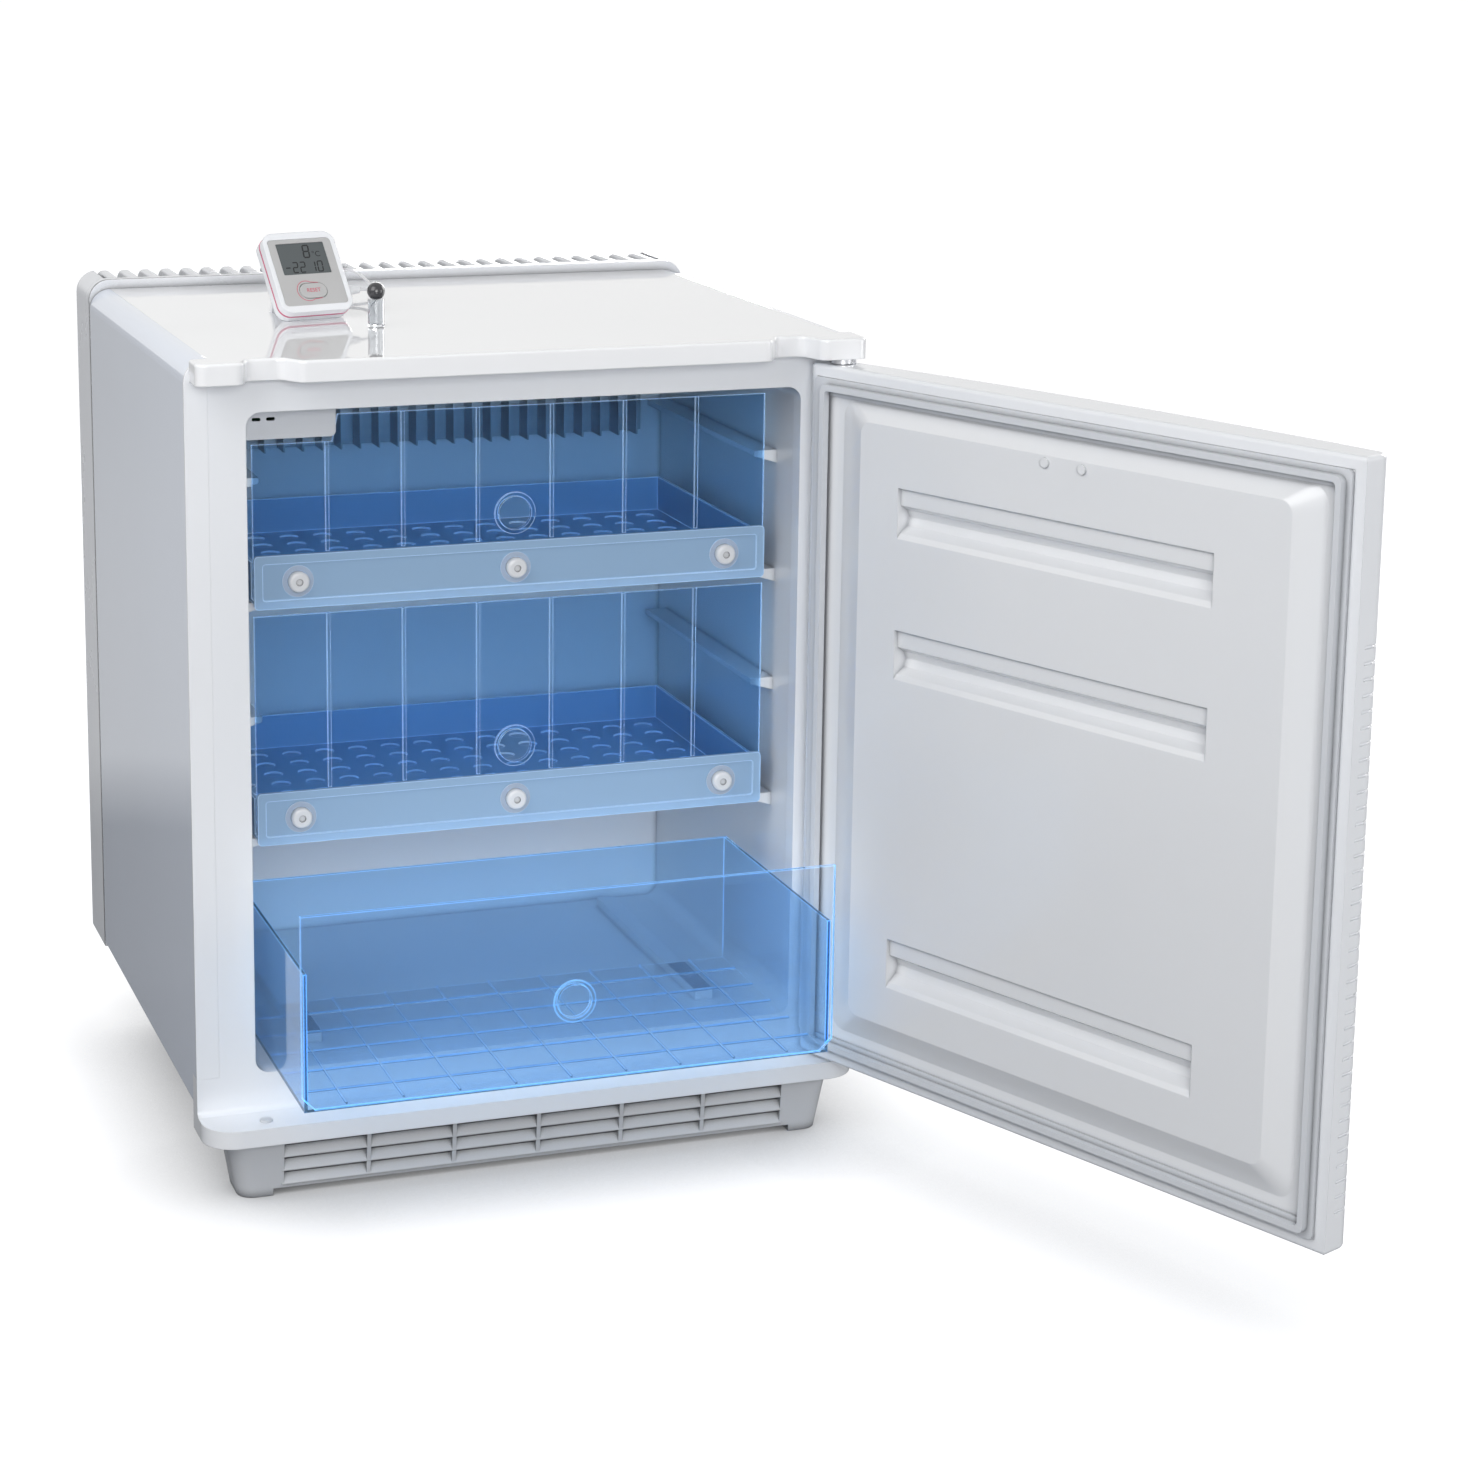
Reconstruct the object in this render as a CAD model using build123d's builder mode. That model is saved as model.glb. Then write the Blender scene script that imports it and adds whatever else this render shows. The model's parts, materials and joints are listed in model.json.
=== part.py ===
from build123d import *
from math import cos, radians, sin, tan
import os

# A free-standing medicine refrigerator, in millimetres, +Z up, door towards -Y.
# The origin is on the floor, under the middle of the cabinet's footprint.

# Cabinet
cabinet_width = 486
cabinet_height = 592
cabinet_depth = 450
front_y = -cabinet_depth / 2
back_y = cabinet_depth / 2
half_width = cabinet_width / 2
underside_z = 44
lip_top_z = 57
sheet = 1.2
top_roll_radius = 16
panel_foot_z = 64
pan_inset = 22
pan_floor = 4
pan_wall = 2
frame_foot_z = 84
seam_x = 227
seam_y = front_y + 370
seam_gap = 1.6
hood_top_z = 599
hood_wall = 3
screw_places = ((-180, 105), (180, 105), (-60, 80), (60, 80))
gland_place = (-205, 84)
gland_radius = 8
gland_bore_radius = 3.6

# Cavity and front frame
opening_half_width = 201
opening_floor_z = 84
opening_top_z = 554
opening_radius = 10
wall = 3
cavity_depth = 300
liner_start_y = front_y + 14
bulkhead_y = front_y + 345

# Lip and plinth
lip_reach = 36
lip_corner = 24
plinth_reach = 24
plinth_half_width = 226
louvre_half_width = 188
louvre_columns = 6
louvre_rows = 3

# Top cover
cover_skirt_z = 577
fill_top_z = 575.5
cover_reach = 25
ear_reach = 24
hinge_ear_reach = 31

# Door, drawn shut and then swung open to its rest pose
pin_x = 223
pin_y = front_y - 22
pin_radius = 4
bush_radius = 6.5
pin_play = 0.05
door_angle = 112.6
door_right = 242.5
door_left = pin_x - 457.5
door_bottom_z = 59.5
door_top_z = 573
trim_gap = 8.5
door_back_y = front_y - trim_gap
door_edge_y = front_y - 33.5
door_front_y = front_y - 44
door_edge_radius = 10
hinge_corner_radius = 7
door_skin = 2.5
flute_pitch = 10.2
flute_gap = 2
flute_depth = 1.5
flutes_top_z = 455
return_width = 8.5
liner_thickness = 2
block_height = 9
gasket_width = 12
gasket_base = 2.5
gasket_gap = 0.8

# Shelf drawers and the bottom drawer
tray_half_width = 189
rail_height = 38
rail_y = front_y + 36
tray_depth = 230
tray_wall = 2.5
upper_rail_z = 408.5
middle_rail_z = 238
rivet_spacing = 158
rib_pitch = 54.5
finger_hole_radius = 12
finger_rim = 3
drawer_front_y = front_y - 101
drawer_depth = 209
drawer_floor_z = 92
drawer_wall_z = 190
drawer_panel_top_z = 231
drawer_panel_half_width = 192

# Thermometer on the top cover, turned a little and leaning back
meter_x = -115
meter_y = front_y + 163
meter_turn = 13.8
meter_lean = 35
meter_width = 58
meter_height = 65
meter_depth = 13
meter_seam = 5.6
display_middle = (0, 43.5)
reset_middle = (0, 17)
jack_height = 18
vial_x = -80.5
vial_y = front_y + 115
vial_height = 20
vial_radius = 6
lead_radius = 1

finished = []


def keep(builder, name):
    """Label a finished sub-part and remember it for export."""
    builder.part.label = name
    finished.append(builder.part)


def mirrored_x(points):
    """The same outline points with their X signs turned, in reverse order."""
    return [(-x, y) for x, y in reversed(points)]


# Cabinet shell


def side_sheet(side):
    """One side's steel sheet: rolled over at the top, folded in at the front edge."""
    x = side * half_width
    inner_x = side * (half_width - sheet)
    roll_x = side * (half_width - top_roll_radius)
    with BuildPart() as sheet_part:
        with BuildSketch(Plane.XZ.offset(-front_y)):
            with BuildLine():
                foot = Line((x, panel_foot_z), (x, cabinet_height - top_roll_radius))
                roll = TangentArc(foot @ 1, (roll_x, cabinet_height), tangent=(0, 1))
                down = Line(roll @ 1, (roll_x, cabinet_height - sheet))
                inner = RadiusArc(
                    down @ 1,
                    (inner_x, cabinet_height - top_roll_radius),
                    side * (top_roll_radius - sheet),
                )
                back = Line(inner @ 1, (inner_x, panel_foot_z))
                Line(back @ 1, foot @ 0)
            make_face()
        extrude(amount=-(seam_y - seam_gap - front_y))
        # The front edge is folded in, up to the roll
        with BuildSketch(Plane.XZ.offset(-front_y)) as folded_edge:
            with Locations((side * (half_width + seam_x) / 2, (frame_foot_z + cabinet_height) / 2)):
                Rectangle(half_width - seam_x, cabinet_height - frame_foot_z)
            outer_corner = folded_edge.vertices().group_by(Axis.Y)[-1].sort_by(Axis.X)
            fillet(outer_corner[0 if side < 0 else -1], radius=top_roll_radius - 0.01)
        extrude(amount=-sheet)
        # The foot is folded in under the foam, as far as the base pan
        with BuildSketch(Plane.XY.offset(panel_foot_z)):
            with Locations((side * (half_width - pan_inset / 2), (front_y + bulkhead_y) / 2)):
                Rectangle(pan_inset, bulkhead_y - front_y)
        extrude(amount=sheet)
        # The lower front corner makes room for the frame's wide foot
        with BuildSketch(Plane.XZ.offset(-front_y)):
            with Locations((side * half_width, frame_foot_z - 30)):
                Rectangle(60, 60)
        extrude(amount=-14, mode=Mode.SUBTRACT)
    return sheet_part


side_panel_left = side_sheet(-1)
keep(side_panel_left, "side_panel_left")
side_panel_right = side_sheet(1)
keep(side_panel_right, "side_panel_right")

# Top cover: a moulded lid whose front edge swells out and ends in a hinge ear at each side
cover_side_x = half_width - top_roll_radius
ear_side_x = half_width - 4
catch_ear = [
    (-cover_side_x, seam_y - seam_gap),
    (-cover_side_x, front_y),
    (-ear_side_x, front_y),
    (-ear_side_x, front_y - ear_reach),
    (-208, front_y - ear_reach),
    (-202, front_y - 9),
    (-178, front_y - 9),
    (-168, front_y - cover_reach),
]
hinge_ear = [
    (168, front_y - cover_reach),
    (178, front_y - 9),
    (198, front_y - 9),
    (205, front_y - hinge_ear_reach),
    (ear_side_x, front_y - hinge_ear_reach),
    (ear_side_x, front_y),
    (cover_side_x, front_y),
    (cover_side_x, seam_y - seam_gap),
]
with BuildPart() as top_cover:
    with BuildSketch(Plane.XY.offset(cover_skirt_z)) as cover_outline:
        with BuildLine():
            Polyline(*catch_ear, *hinge_ear, close=True)
        make_face()
        front_corners = cover_outline.vertices().filter_by_position(
            Axis.Y, front_y - 40, front_y - 5
        )
        fillet(front_corners, radius=6.5)
    extrude(amount=cabinet_height - cover_skirt_z)
    with BuildSketch(Plane.XY.offset(cover_skirt_z)):
        with Locations((0, (front_y + 2 + seam_y) / 2)):
            Rectangle(2 * (seam_x - wall), seam_y - front_y + 10)
    extrude(amount=cabinet_height - cover_skirt_z - wall, mode=Mode.SUBTRACT)
    with BuildSketch(Plane.XY.offset(cover_skirt_z)):
        with Locations((0, front_y - cover_reach / 2)):
            Rectangle(2 * 162, cover_reach - 2 * wall)
    extrude(amount=cabinet_height - cover_skirt_z - wall, mode=Mode.SUBTRACT)
    with BuildSketch(Plane.XY.offset(cover_skirt_z)):
        with Locations((pin_x, pin_y)):
            Circle(pin_radius)
    extrude(amount=8, mode=Mode.SUBTRACT)
    top_edges = top_cover.faces().sort_by(Axis.Z)[-1].outer_wire().edges()
    front_edges = top_edges.filter_by_position(Axis.Y, front_y - 60, front_y - 1)
    fillet(front_edges, radius=2)
keep(top_cover, "top_cover")

# Front frame: a hollow-backed surround that carries the door's lip below
with BuildPart() as front_frame:
    with BuildSketch(Plane.XZ.offset(-front_y)):
        with BuildLine():
            Polyline(
                (-half_width, underside_z),
                (half_width, underside_z),
                (half_width, frame_foot_z),
                (seam_x, frame_foot_z),
                (seam_x, cover_skirt_z),
                (-seam_x, cover_skirt_z),
                (-seam_x, frame_foot_z),
                (-half_width, frame_foot_z),
                close=True,
            )
        make_face()
        with Locations((0, (opening_floor_z + opening_top_z) / 2)):
            RectangleRounded(
                2 * opening_half_width,
                opening_top_z - opening_floor_z,
                opening_radius,
                mode=Mode.SUBTRACT,
            )
    extrude(amount=-14)
    # The back of the surround is open between its inner and outer walls
    with BuildSketch(Plane.XZ.offset(-front_y - 14)):
        with Locations((0, (frame_foot_z + cover_skirt_z) / 2)):
            Rectangle(2 * (seam_x - wall), cover_skirt_z - frame_foot_z - 2 * wall)
        with Locations((0, (opening_floor_z + opening_top_z) / 2)):
            RectangleRounded(
                2 * (opening_half_width + wall),
                opening_top_z - opening_floor_z + 2 * wall,
                opening_radius + wall,
                mode=Mode.SUBTRACT,
            )
    extrude(amount=14 - wall, mode=Mode.SUBTRACT)
    # The lip below the door
    with BuildSketch(Plane.XY.offset(underside_z)):
        with Locations((0, front_y - lip_reach / 2 + 7)):
            Rectangle(cabinet_width, lip_reach + 14)
        lip_corners = vertices().filter_by_position(Axis.Y, front_y - 50, front_y - 20)
        fillet(lip_corners, radius=lip_corner)
    extrude(amount=lip_top_z - underside_z)
    lip_root = front_frame.edges().filter_by(Axis.X).filter_by_position(
        Axis.Z, lip_top_z - 0.1, lip_top_z + 0.1
    )
    fillet(lip_root.filter_by_position(Axis.Y, front_y - 0.1, front_y + 0.1), radius=4)
    with BuildSketch(Plane.XY.offset(underside_z)):
        with Locations((0, front_y - lip_reach / 2 + 4)):
            Rectangle(2 * 205, lip_reach - 2 * wall)
    extrude(amount=lip_top_z - underside_z - wall, mode=Mode.SUBTRACT)
    with BuildSketch(Plane.XY.offset(lip_top_z)):
        with Locations((pin_x, pin_y)):
            Circle(pin_radius)
    extrude(amount=-10, mode=Mode.SUBTRACT)
keep(front_frame, "front_frame")

# Inner liner: the cold cavity, with moulded runners for the drawers
runner_length = 235
runner_drop = 3.6
runner_play = 0.3
runner_y = front_y + 45 + runner_length / 2
with BuildPart() as inner_liner:
    with BuildSketch(Plane.XZ.offset(-liner_start_y)):
        with Locations((0, (opening_floor_z + opening_top_z) / 2)):
            RectangleRounded(
                2 * (opening_half_width + tray_wall),
                opening_top_z - opening_floor_z + 2 * tray_wall,
                opening_radius + tray_wall,
            )
    extrude(amount=-(front_y + cavity_depth + tray_wall - liner_start_y))
    with BuildSketch(Plane.XZ.offset(-liner_start_y)):
        with Locations((0, (opening_floor_z + opening_top_z) / 2)):
            RectangleRounded(
                2 * opening_half_width, opening_top_z - opening_floor_z, opening_radius
            )
    extrude(amount=-(front_y + cavity_depth - liner_start_y), mode=Mode.SUBTRACT)
    for rail_z in (upper_rail_z, middle_rail_z):
        for runner_top in (rail_z + runner_drop, rail_z + 92):
            for side in (-1, 1):
                with BuildSketch(Plane.XZ.offset(-(runner_y - runner_length / 2))):
                    with BuildLine():
                        Polyline(
                            (side * (opening_half_width + 1), runner_top),
                            (side * (opening_half_width - 18), runner_top),
                            (side * (opening_half_width - 18), runner_top - 4),
                            (side * (opening_half_width + 1), runner_top - 10),
                            close=True,
                        )
                    make_face()
                extrude(amount=-runner_length)
    for side in (-1, 1):
        with BuildSketch(Plane.XY.offset(opening_floor_z - 1)):
            with Locations((side * 150, runner_y)):
                Rectangle(14, runner_length)
        extrude(amount=drawer_floor_z - runner_play - opening_floor_z + 1)
keep(inner_liner, "inner_liner")

# Foam between the liner and the sheets
with BuildPart() as cabinet_foam:
    with BuildSketch(Plane.XZ.offset(-(front_y + 14))):
        with Locations((0, (panel_foot_z + sheet + fill_top_z) / 2)):
            Rectangle(2 * (half_width - sheet), fill_top_z - panel_foot_z - sheet)
        with Locations((0, (underside_z + pan_floor + panel_foot_z + sheet) / 2)):
            Rectangle(
                2 * (half_width - pan_inset - pan_wall),
                panel_foot_z + sheet - underside_z - pan_floor,
            )
    extrude(amount=-(bulkhead_y - front_y - 14))
    with BuildSketch(Plane.XZ.offset(-(front_y + 14))):
        with Locations((0, (opening_floor_z + opening_top_z) / 2)):
            RectangleRounded(
                2 * (opening_half_width + tray_wall),
                opening_top_z - opening_floor_z + 2 * tray_wall,
                opening_radius + tray_wall,
            )
    extrude(amount=-(cavity_depth + tray_wall - 14), mode=Mode.SUBTRACT)
keep(cabinet_foam, "cabinet_foam")

# Steel bulkhead that closes the foam behind, and the pan that closes it below
with BuildPart() as rear_bulkhead:
    with BuildSketch(Plane.XZ.offset(-bulkhead_y)):
        with Locations((0, (panel_foot_z + fill_top_z) / 2)):
            Rectangle(2 * (half_width - sheet), fill_top_z - panel_foot_z)
        with Locations((0, (underside_z + panel_foot_z) / 2)):
            Rectangle(2 * (half_width - pan_inset), panel_foot_z - underside_z)
    extrude(amount=-sheet)
keep(rear_bulkhead, "rear_bulkhead")

# Posts that the rear cover is screwed to
with BuildPart() as cover_posts:
    with BuildSketch(Plane.XZ.offset(-(bulkhead_y + sheet))):
        with Locations(*screw_places):
            Circle(5)
    extrude(amount=-(back_y - hood_wall - bulkhead_y - sheet))
    with BuildSketch(Plane.XZ.offset(-(back_y - 20))):
        with Locations(*screw_places):
            Circle(2)
    extrude(amount=-20, mode=Mode.SUBTRACT)
keep(cover_posts, "cover_posts")

pan_depth = bulkhead_y - sheet - front_y - 14
pan_middle_y = (front_y + 14 + bulkhead_y - sheet) / 2
with BuildPart() as base_pan:
    with BuildSketch(Plane.XY.offset(underside_z)):
        with Locations((0, pan_middle_y)):
            Rectangle(2 * (half_width - pan_inset), pan_depth)
    extrude(amount=pan_floor)
    # Upstands meet the folded foot of each side sheet
    with BuildSketch(Plane.XY.offset(underside_z + pan_floor)):
        for side in (-1, 1):
            with Locations((side * (half_width - pan_inset - pan_wall / 2), pan_middle_y)):
                Rectangle(pan_wall, pan_depth)
    extrude(amount=panel_foot_z + sheet - underside_z - pan_floor)
keep(base_pan, "base_pan")

# Front plinth: a tapering skirt with sloping louvres and a moulded foot at each end
plinth_front_y = front_y - plinth_reach
plinth_depth = 34
plinth_toe = 4
louvre_width = 2 * louvre_half_width / louvre_columns
louvre_top_z = 39
louvre_rise = 10.5
slat_gap = 3
upright_width = 3
with BuildPart() as front_plinth:
    with BuildSketch(Plane.XY.offset(underside_z)) as plinth_top:
        with Locations((0, plinth_front_y + plinth_depth / 2)):
            Rectangle(2 * plinth_half_width, plinth_depth)
        fillet(plinth_top.vertices().group_by(Axis.Y)[0], radius=14)
    with BuildSketch(Plane.XY) as plinth_foot:
        with Locations((0, plinth_front_y + plinth_toe + plinth_depth / 2)):
            Rectangle(2 * (plinth_half_width - 8), plinth_depth - 2)
        fillet(plinth_foot.vertices().group_by(Axis.Y)[0], radius=12)
    loft()
    # Hollow behind the face, open to the back, between the two end feet
    with BuildSketch(Plane.XY):
        with Locations((0, plinth_front_y + 3 + plinth_depth)):
            Rectangle(2 * louvre_half_width + 12, 2 * plinth_depth - 16)
    extrude(amount=underside_z - wall, mode=Mode.SUBTRACT)
    # The louvre window, crossed by an upright between each two columns
    with BuildSketch(Plane.XZ.offset(-(plinth_front_y - 5))):
        with GridLocations(louvre_width, 1, louvre_columns, 1):
            with Locations((0, louvre_top_z - louvre_rows * louvre_rise / 2)):
                Rectangle(louvre_width - upright_width, louvre_rows * louvre_rise)
    extrude(amount=-30, mode=Mode.SUBTRACT)
    # The face stops short of the floor between the feet
    with BuildSketch(Plane.XZ.offset(-(plinth_front_y - 5))):
        with Locations((0, 1)):
            Rectangle(2 * louvre_half_width + 12, 8)
    extrude(amount=-60, mode=Mode.SUBTRACT)
    # Slats: each leans back and upwards behind the one above it
    for row in range(louvre_rows):
        slat_top_z = louvre_top_z - slat_gap - row * louvre_rise
        slat_foot_z = slat_top_z - louvre_rise + slat_gap
        slat_front_y = plinth_front_y + plinth_toe * (1 - slat_foot_z / underside_z)
        with BuildSketch(Plane.YZ.offset(-louvre_half_width)):
            with BuildLine():
                Polyline(
                    (slat_front_y, slat_foot_z),
                    (slat_front_y + 1, slat_foot_z + 2),
                    (slat_front_y + 4, slat_top_z),
                    (slat_front_y + 13, slat_top_z + slat_gap + 3),
                    (slat_front_y + 14, slat_top_z + slat_gap + 1.6),
                    (slat_front_y + 6, slat_foot_z + 3),
                    close=True,
                )
            make_face()
        extrude(amount=2 * louvre_half_width)
keep(front_plinth, "front_plinth")

# Rear feet: turned legs under the back of the base pan
with BuildPart() as rear_feet:
    with BuildSketch(Plane.XY):
        with Locations((-180, front_y + 300), (180, front_y + 300)):
            Circle(15)
    extrude(amount=underside_z, taper=4)
keep(rear_feet, "rear_feet")

# Rear cover: a moulded hood with a smooth rim, whose bars run over the top and down the back
cover_foot_z = 60
bar_count = 28
bar_pitch = 16.4
bar_width = 8
bar_depth = 9
bar_radius = 26
bar_edge_radius = 2.5
hood_radius = 22
with BuildPart() as hood_core:
    with BuildSketch(Plane.XZ.offset(-(seam_y - 1))) as core_outline:
        with Locations((0, (cover_foot_z - 10 + hood_top_z - hood_wall) / 2)):
            Rectangle(2 * (half_width - hood_wall), hood_top_z - hood_wall - cover_foot_z + 10)
        fillet(core_outline.vertices().group_by(Axis.Y)[-1], radius=top_roll_radius - hood_wall)
    extrude(amount=-(back_y - hood_wall - seam_y + 1))
    core_edges = hood_core.faces().sort_by(Axis.Y)[-1].edges()
    fillet(
        core_edges.filter_by_position(Axis.Z, cover_foot_z, hood_top_z), hood_radius - hood_wall
    )
window_half_width = bar_pitch * bar_count / 2
window_start_y = seam_y + 10
bar_places = [((i - (bar_count - 1) / 2) * bar_pitch, 0, 0) for i in range(bar_count)]
with BuildPart() as hood_bar:
    with BuildSketch(Plane.YZ.offset(-bar_width / 2)) as bar_section:
        with BuildLine():
            Polyline(
                (window_start_y - 1, hood_top_z),
                (window_start_y - 1, hood_top_z - bar_depth),
                (back_y - bar_depth, hood_top_z - bar_depth),
                (back_y - bar_depth, 149),
                (back_y, 149),
                (back_y, hood_top_z),
                close=True,
            )
        make_face()
        outer_corner = bar_section.vertices().group_by(Axis.X)[-1].sort_by(Axis.Y)[-1]
        fillet(outer_corner, radius=bar_radius)
    extrude(amount=bar_width)
    bar_back = hood_bar.edges().filter_by_position(Axis.Y, back_y - 0.01, back_y + 0.01)
    bar_top = hood_bar.edges().filter_by_position(Axis.Z, hood_top_z - 0.01, hood_top_z + 0.01)
    bar_bend = hood_bar.edges().filter_by(GeomType.CIRCLE)
    rounded = (bar_back.filter_by(Axis.Z) + bar_top.filter_by(Axis.Y) + bar_bend)
    fillet(rounded, radius=bar_edge_radius)
with BuildPart() as rear_cover:
    with BuildSketch(Plane.XZ.offset(-seam_y)) as hood_outline:
        with Locations((0, (cover_foot_z + hood_top_z) / 2)):
            Rectangle(cabinet_width, hood_top_z - cover_foot_z)
        fillet(hood_outline.vertices().group_by(Axis.Y)[-1], radius=top_roll_radius)
    extrude(amount=-(back_y - seam_y))
    back_edges = rear_cover.faces().sort_by(Axis.Y)[-1].edges()
    fillet(
        back_edges.filter_by_position(Axis.Z, cover_foot_z + 1, hood_top_z + 1), hood_radius
    )
    # Hollow, and open towards the cabinet and below
    add(hood_core.part, mode=Mode.SUBTRACT)
    # The front edge is deeper than the wall, so that it closes the step above the cabinet's top
    with BuildSketch(Plane.XZ.offset(-seam_y)) as flange_outline:
        with Locations((0, (cover_foot_z + hood_top_z) / 2)):
            Rectangle(cabinet_width, hood_top_z - cover_foot_z)
        fillet(flange_outline.vertices().group_by(Axis.Y)[-1], radius=top_roll_radius)
        with Locations((0, (cabinet_height - hood_wall) / 2)):
            RectangleRounded(
                2 * (half_width - hood_wall),
                cabinet_height - hood_wall,
                top_roll_radius - hood_wall,
                mode=Mode.SUBTRACT,
            )
    extrude(amount=-hood_wall)
    # The window that the bars cross, over the top and down the back
    with BuildSketch(Plane.YZ.offset(-window_half_width)):
        with BuildLine():
            Polyline(
                (window_start_y, hood_top_z + 1),
                (window_start_y, hood_top_z - 40),
                (back_y - 40, hood_top_z - 40),
                (back_y - 40, 150),
                (back_y + 1, 150),
                (back_y + 1, hood_top_z + 1),
                close=True,
            )
        make_face()
    extrude(amount=2 * window_half_width, mode=Mode.SUBTRACT)
    with Locations(*bar_places):
        add(hood_bar.part)
    # Ties that hold the bars together from behind
    for tie_z in (260, 370, 480):
        with BuildSketch(Plane.XY.offset(tie_z)):
            with Locations((0, back_y - bar_depth + 2)):
                Rectangle(2 * window_half_width, 4)
        extrude(amount=5)
    # Screw seats in the band below the window
    for depth, radius in ((1.6, 4.5), (12, 2)):
        with BuildSketch(Plane.XZ.offset(-back_y)):
            with Locations(*screw_places):
                Circle(radius)
        extrude(amount=depth, mode=Mode.SUBTRACT)
    with BuildSketch(Plane.XZ.offset(-back_y)):
        with Locations(gland_place):
            Circle(gland_radius)
    extrude(amount=hood_wall + 1, mode=Mode.SUBTRACT)
keep(rear_cover, "rear_cover")

with BuildPart() as rear_cover_screws:
    with BuildSketch(Plane.XZ.offset(-back_y)):
        with Locations(*screw_places):
            Circle(4.2)
    extrude(amount=1.5)
    with BuildSketch(Plane.XZ.offset(-back_y)):
        with Locations(*screw_places):
            Circle(1.9)
    extrude(amount=-16)
    with BuildSketch(Plane.XZ.offset(-back_y + 1.5)):
        with Locations(*screw_places):
            Rectangle(6, 1)
            Rectangle(1, 6)
    extrude(amount=-1, mode=Mode.SUBTRACT)
keep(rear_cover_screws, "rear_cover_screws")

# Cold side: finned plate at the back of the cavity, and the control box under its ceiling
fin_count = 24
fin_pitch = 15
fin_height = 76
fin_z = 512
evaporator_back_y = front_y + cavity_depth
with BuildPart() as evaporator:
    with BuildSketch(Plane.XZ.offset(-evaporator_back_y)):
        with Locations((0, fin_z)):
            Rectangle(fin_count * fin_pitch + 6, fin_height)
    extrude(amount=3)
    with BuildSketch(Plane.XZ.offset(-evaporator_back_y + 3)):
        with GridLocations(fin_pitch, 1, fin_count, 1):
            with Locations((0, fin_z)):
                Rectangle(1.2, fin_height)
    extrude(amount=22)
keep(evaporator, "evaporator")

control_box_x = -167.5
control_box_y = front_y + 18
control_box_z = 532
with BuildPart() as control_box:
    with BuildSketch(Plane.XZ.offset(-control_box_y)) as box_outline:
        with Locations((control_box_x, (control_box_z + opening_top_z) / 2)):
            Rectangle(66, opening_top_z - control_box_z)
        fillet(box_outline.vertices().sort_by(Axis.X)[:2].sort_by(Axis.Y)[-1], radius=12)
        fillet(box_outline.vertices().group_by(Axis.Y)[0], radius=4)
    extrude(amount=-90)
    with BuildSketch(Plane.XZ.offset(-(control_box_y + 2))):
        with Locations((control_box_x, control_box_z + 11)):
            Rectangle(58, 18)
    extrude(amount=-86, mode=Mode.SUBTRACT)
    with BuildSketch(Plane.XZ.offset(-control_box_y)):
        with Locations((-190, control_box_z + 14), (-180, control_box_z + 14)):
            RectangleRounded(6, 2.4, 1)
    extrude(amount=-4, mode=Mode.SUBTRACT)
keep(control_box, "control_box")

with BuildPart() as control_board:
    with BuildSketch(Plane.XY.offset(control_box_z + 2)):
        with Locations((-167, control_box_y + 48)):
            Rectangle(52, 74)
    extrude(amount=1.6)
    with BuildSketch(Plane.XY.offset(control_box_z + 3.6)):
        with Locations((-180, control_box_y + 66)):
            Rectangle(16, 20)
        with Locations((-155, control_box_y + 66)):
            Circle(6)
    extrude(amount=9)
keep(control_board, "control_board")

# Absorption cooling unit in the space behind the bulkhead
unit_y = front_y + 392
tube_radius = 7
jacket_x = 150
jacket_foot_z = 120
jacket_height = 230
with BuildPart() as boiler_jacket:
    with BuildSketch(Plane.XY.offset(jacket_foot_z)):
        with Locations((jacket_x, unit_y)):
            RectangleRounded(62, 62, 10)
    extrude(amount=jacket_height)
    with BuildSketch(Plane.XY.offset(jacket_foot_z)):
        with Locations((jacket_x, unit_y)):
            RectangleRounded(59, 59, 9)
    extrude(amount=jacket_height - 3, mode=Mode.SUBTRACT)
    with BuildSketch(Plane.XY.offset(jacket_foot_z + jacket_height)):
        with Locations((jacket_x, unit_y)):
            Circle(tube_radius + 1)
    extrude(amount=-3, mode=Mode.SUBTRACT)
keep(boiler_jacket, "boiler_jacket")

with BuildPart() as heater_cartridge:
    with BuildSketch(Plane.XY.offset(96)):
        with Locations((jacket_x - 14, unit_y)):
            Circle(7)
    extrude(amount=130)
    with BuildSketch(Plane.XY.offset(90)):
        with Locations((jacket_x - 14, unit_y)):
            Circle(9)
    extrude(amount=8)
keep(heater_cartridge, "heater_cartridge")

condenser_z = 548
with BuildPart() as condenser:
    with BuildLine():
        condenser_route = FilletPolyline(
            (jacket_x, unit_y, 235),
            (jacket_x, unit_y, condenser_z + 4),
            (0, unit_y, condenser_z),
            (-185, unit_y, condenser_z - 6),
            (-185, unit_y, 460),
            radius=25,
        )
    with BuildSketch(Plane(origin=condenser_route @ 0, z_dir=condenser_route % 0)):
        Circle(tube_radius)
    sweep()
    fin_planes = [Plane.YZ.offset(-110 + 14 * i) for i in range(16)]
    with BuildSketch(*fin_planes):
        with Locations((unit_y, condenser_z)):
            RectangleRounded(56, 42, 4)
    extrude(amount=0.8)
keep(condenser, "condenser")

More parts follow.
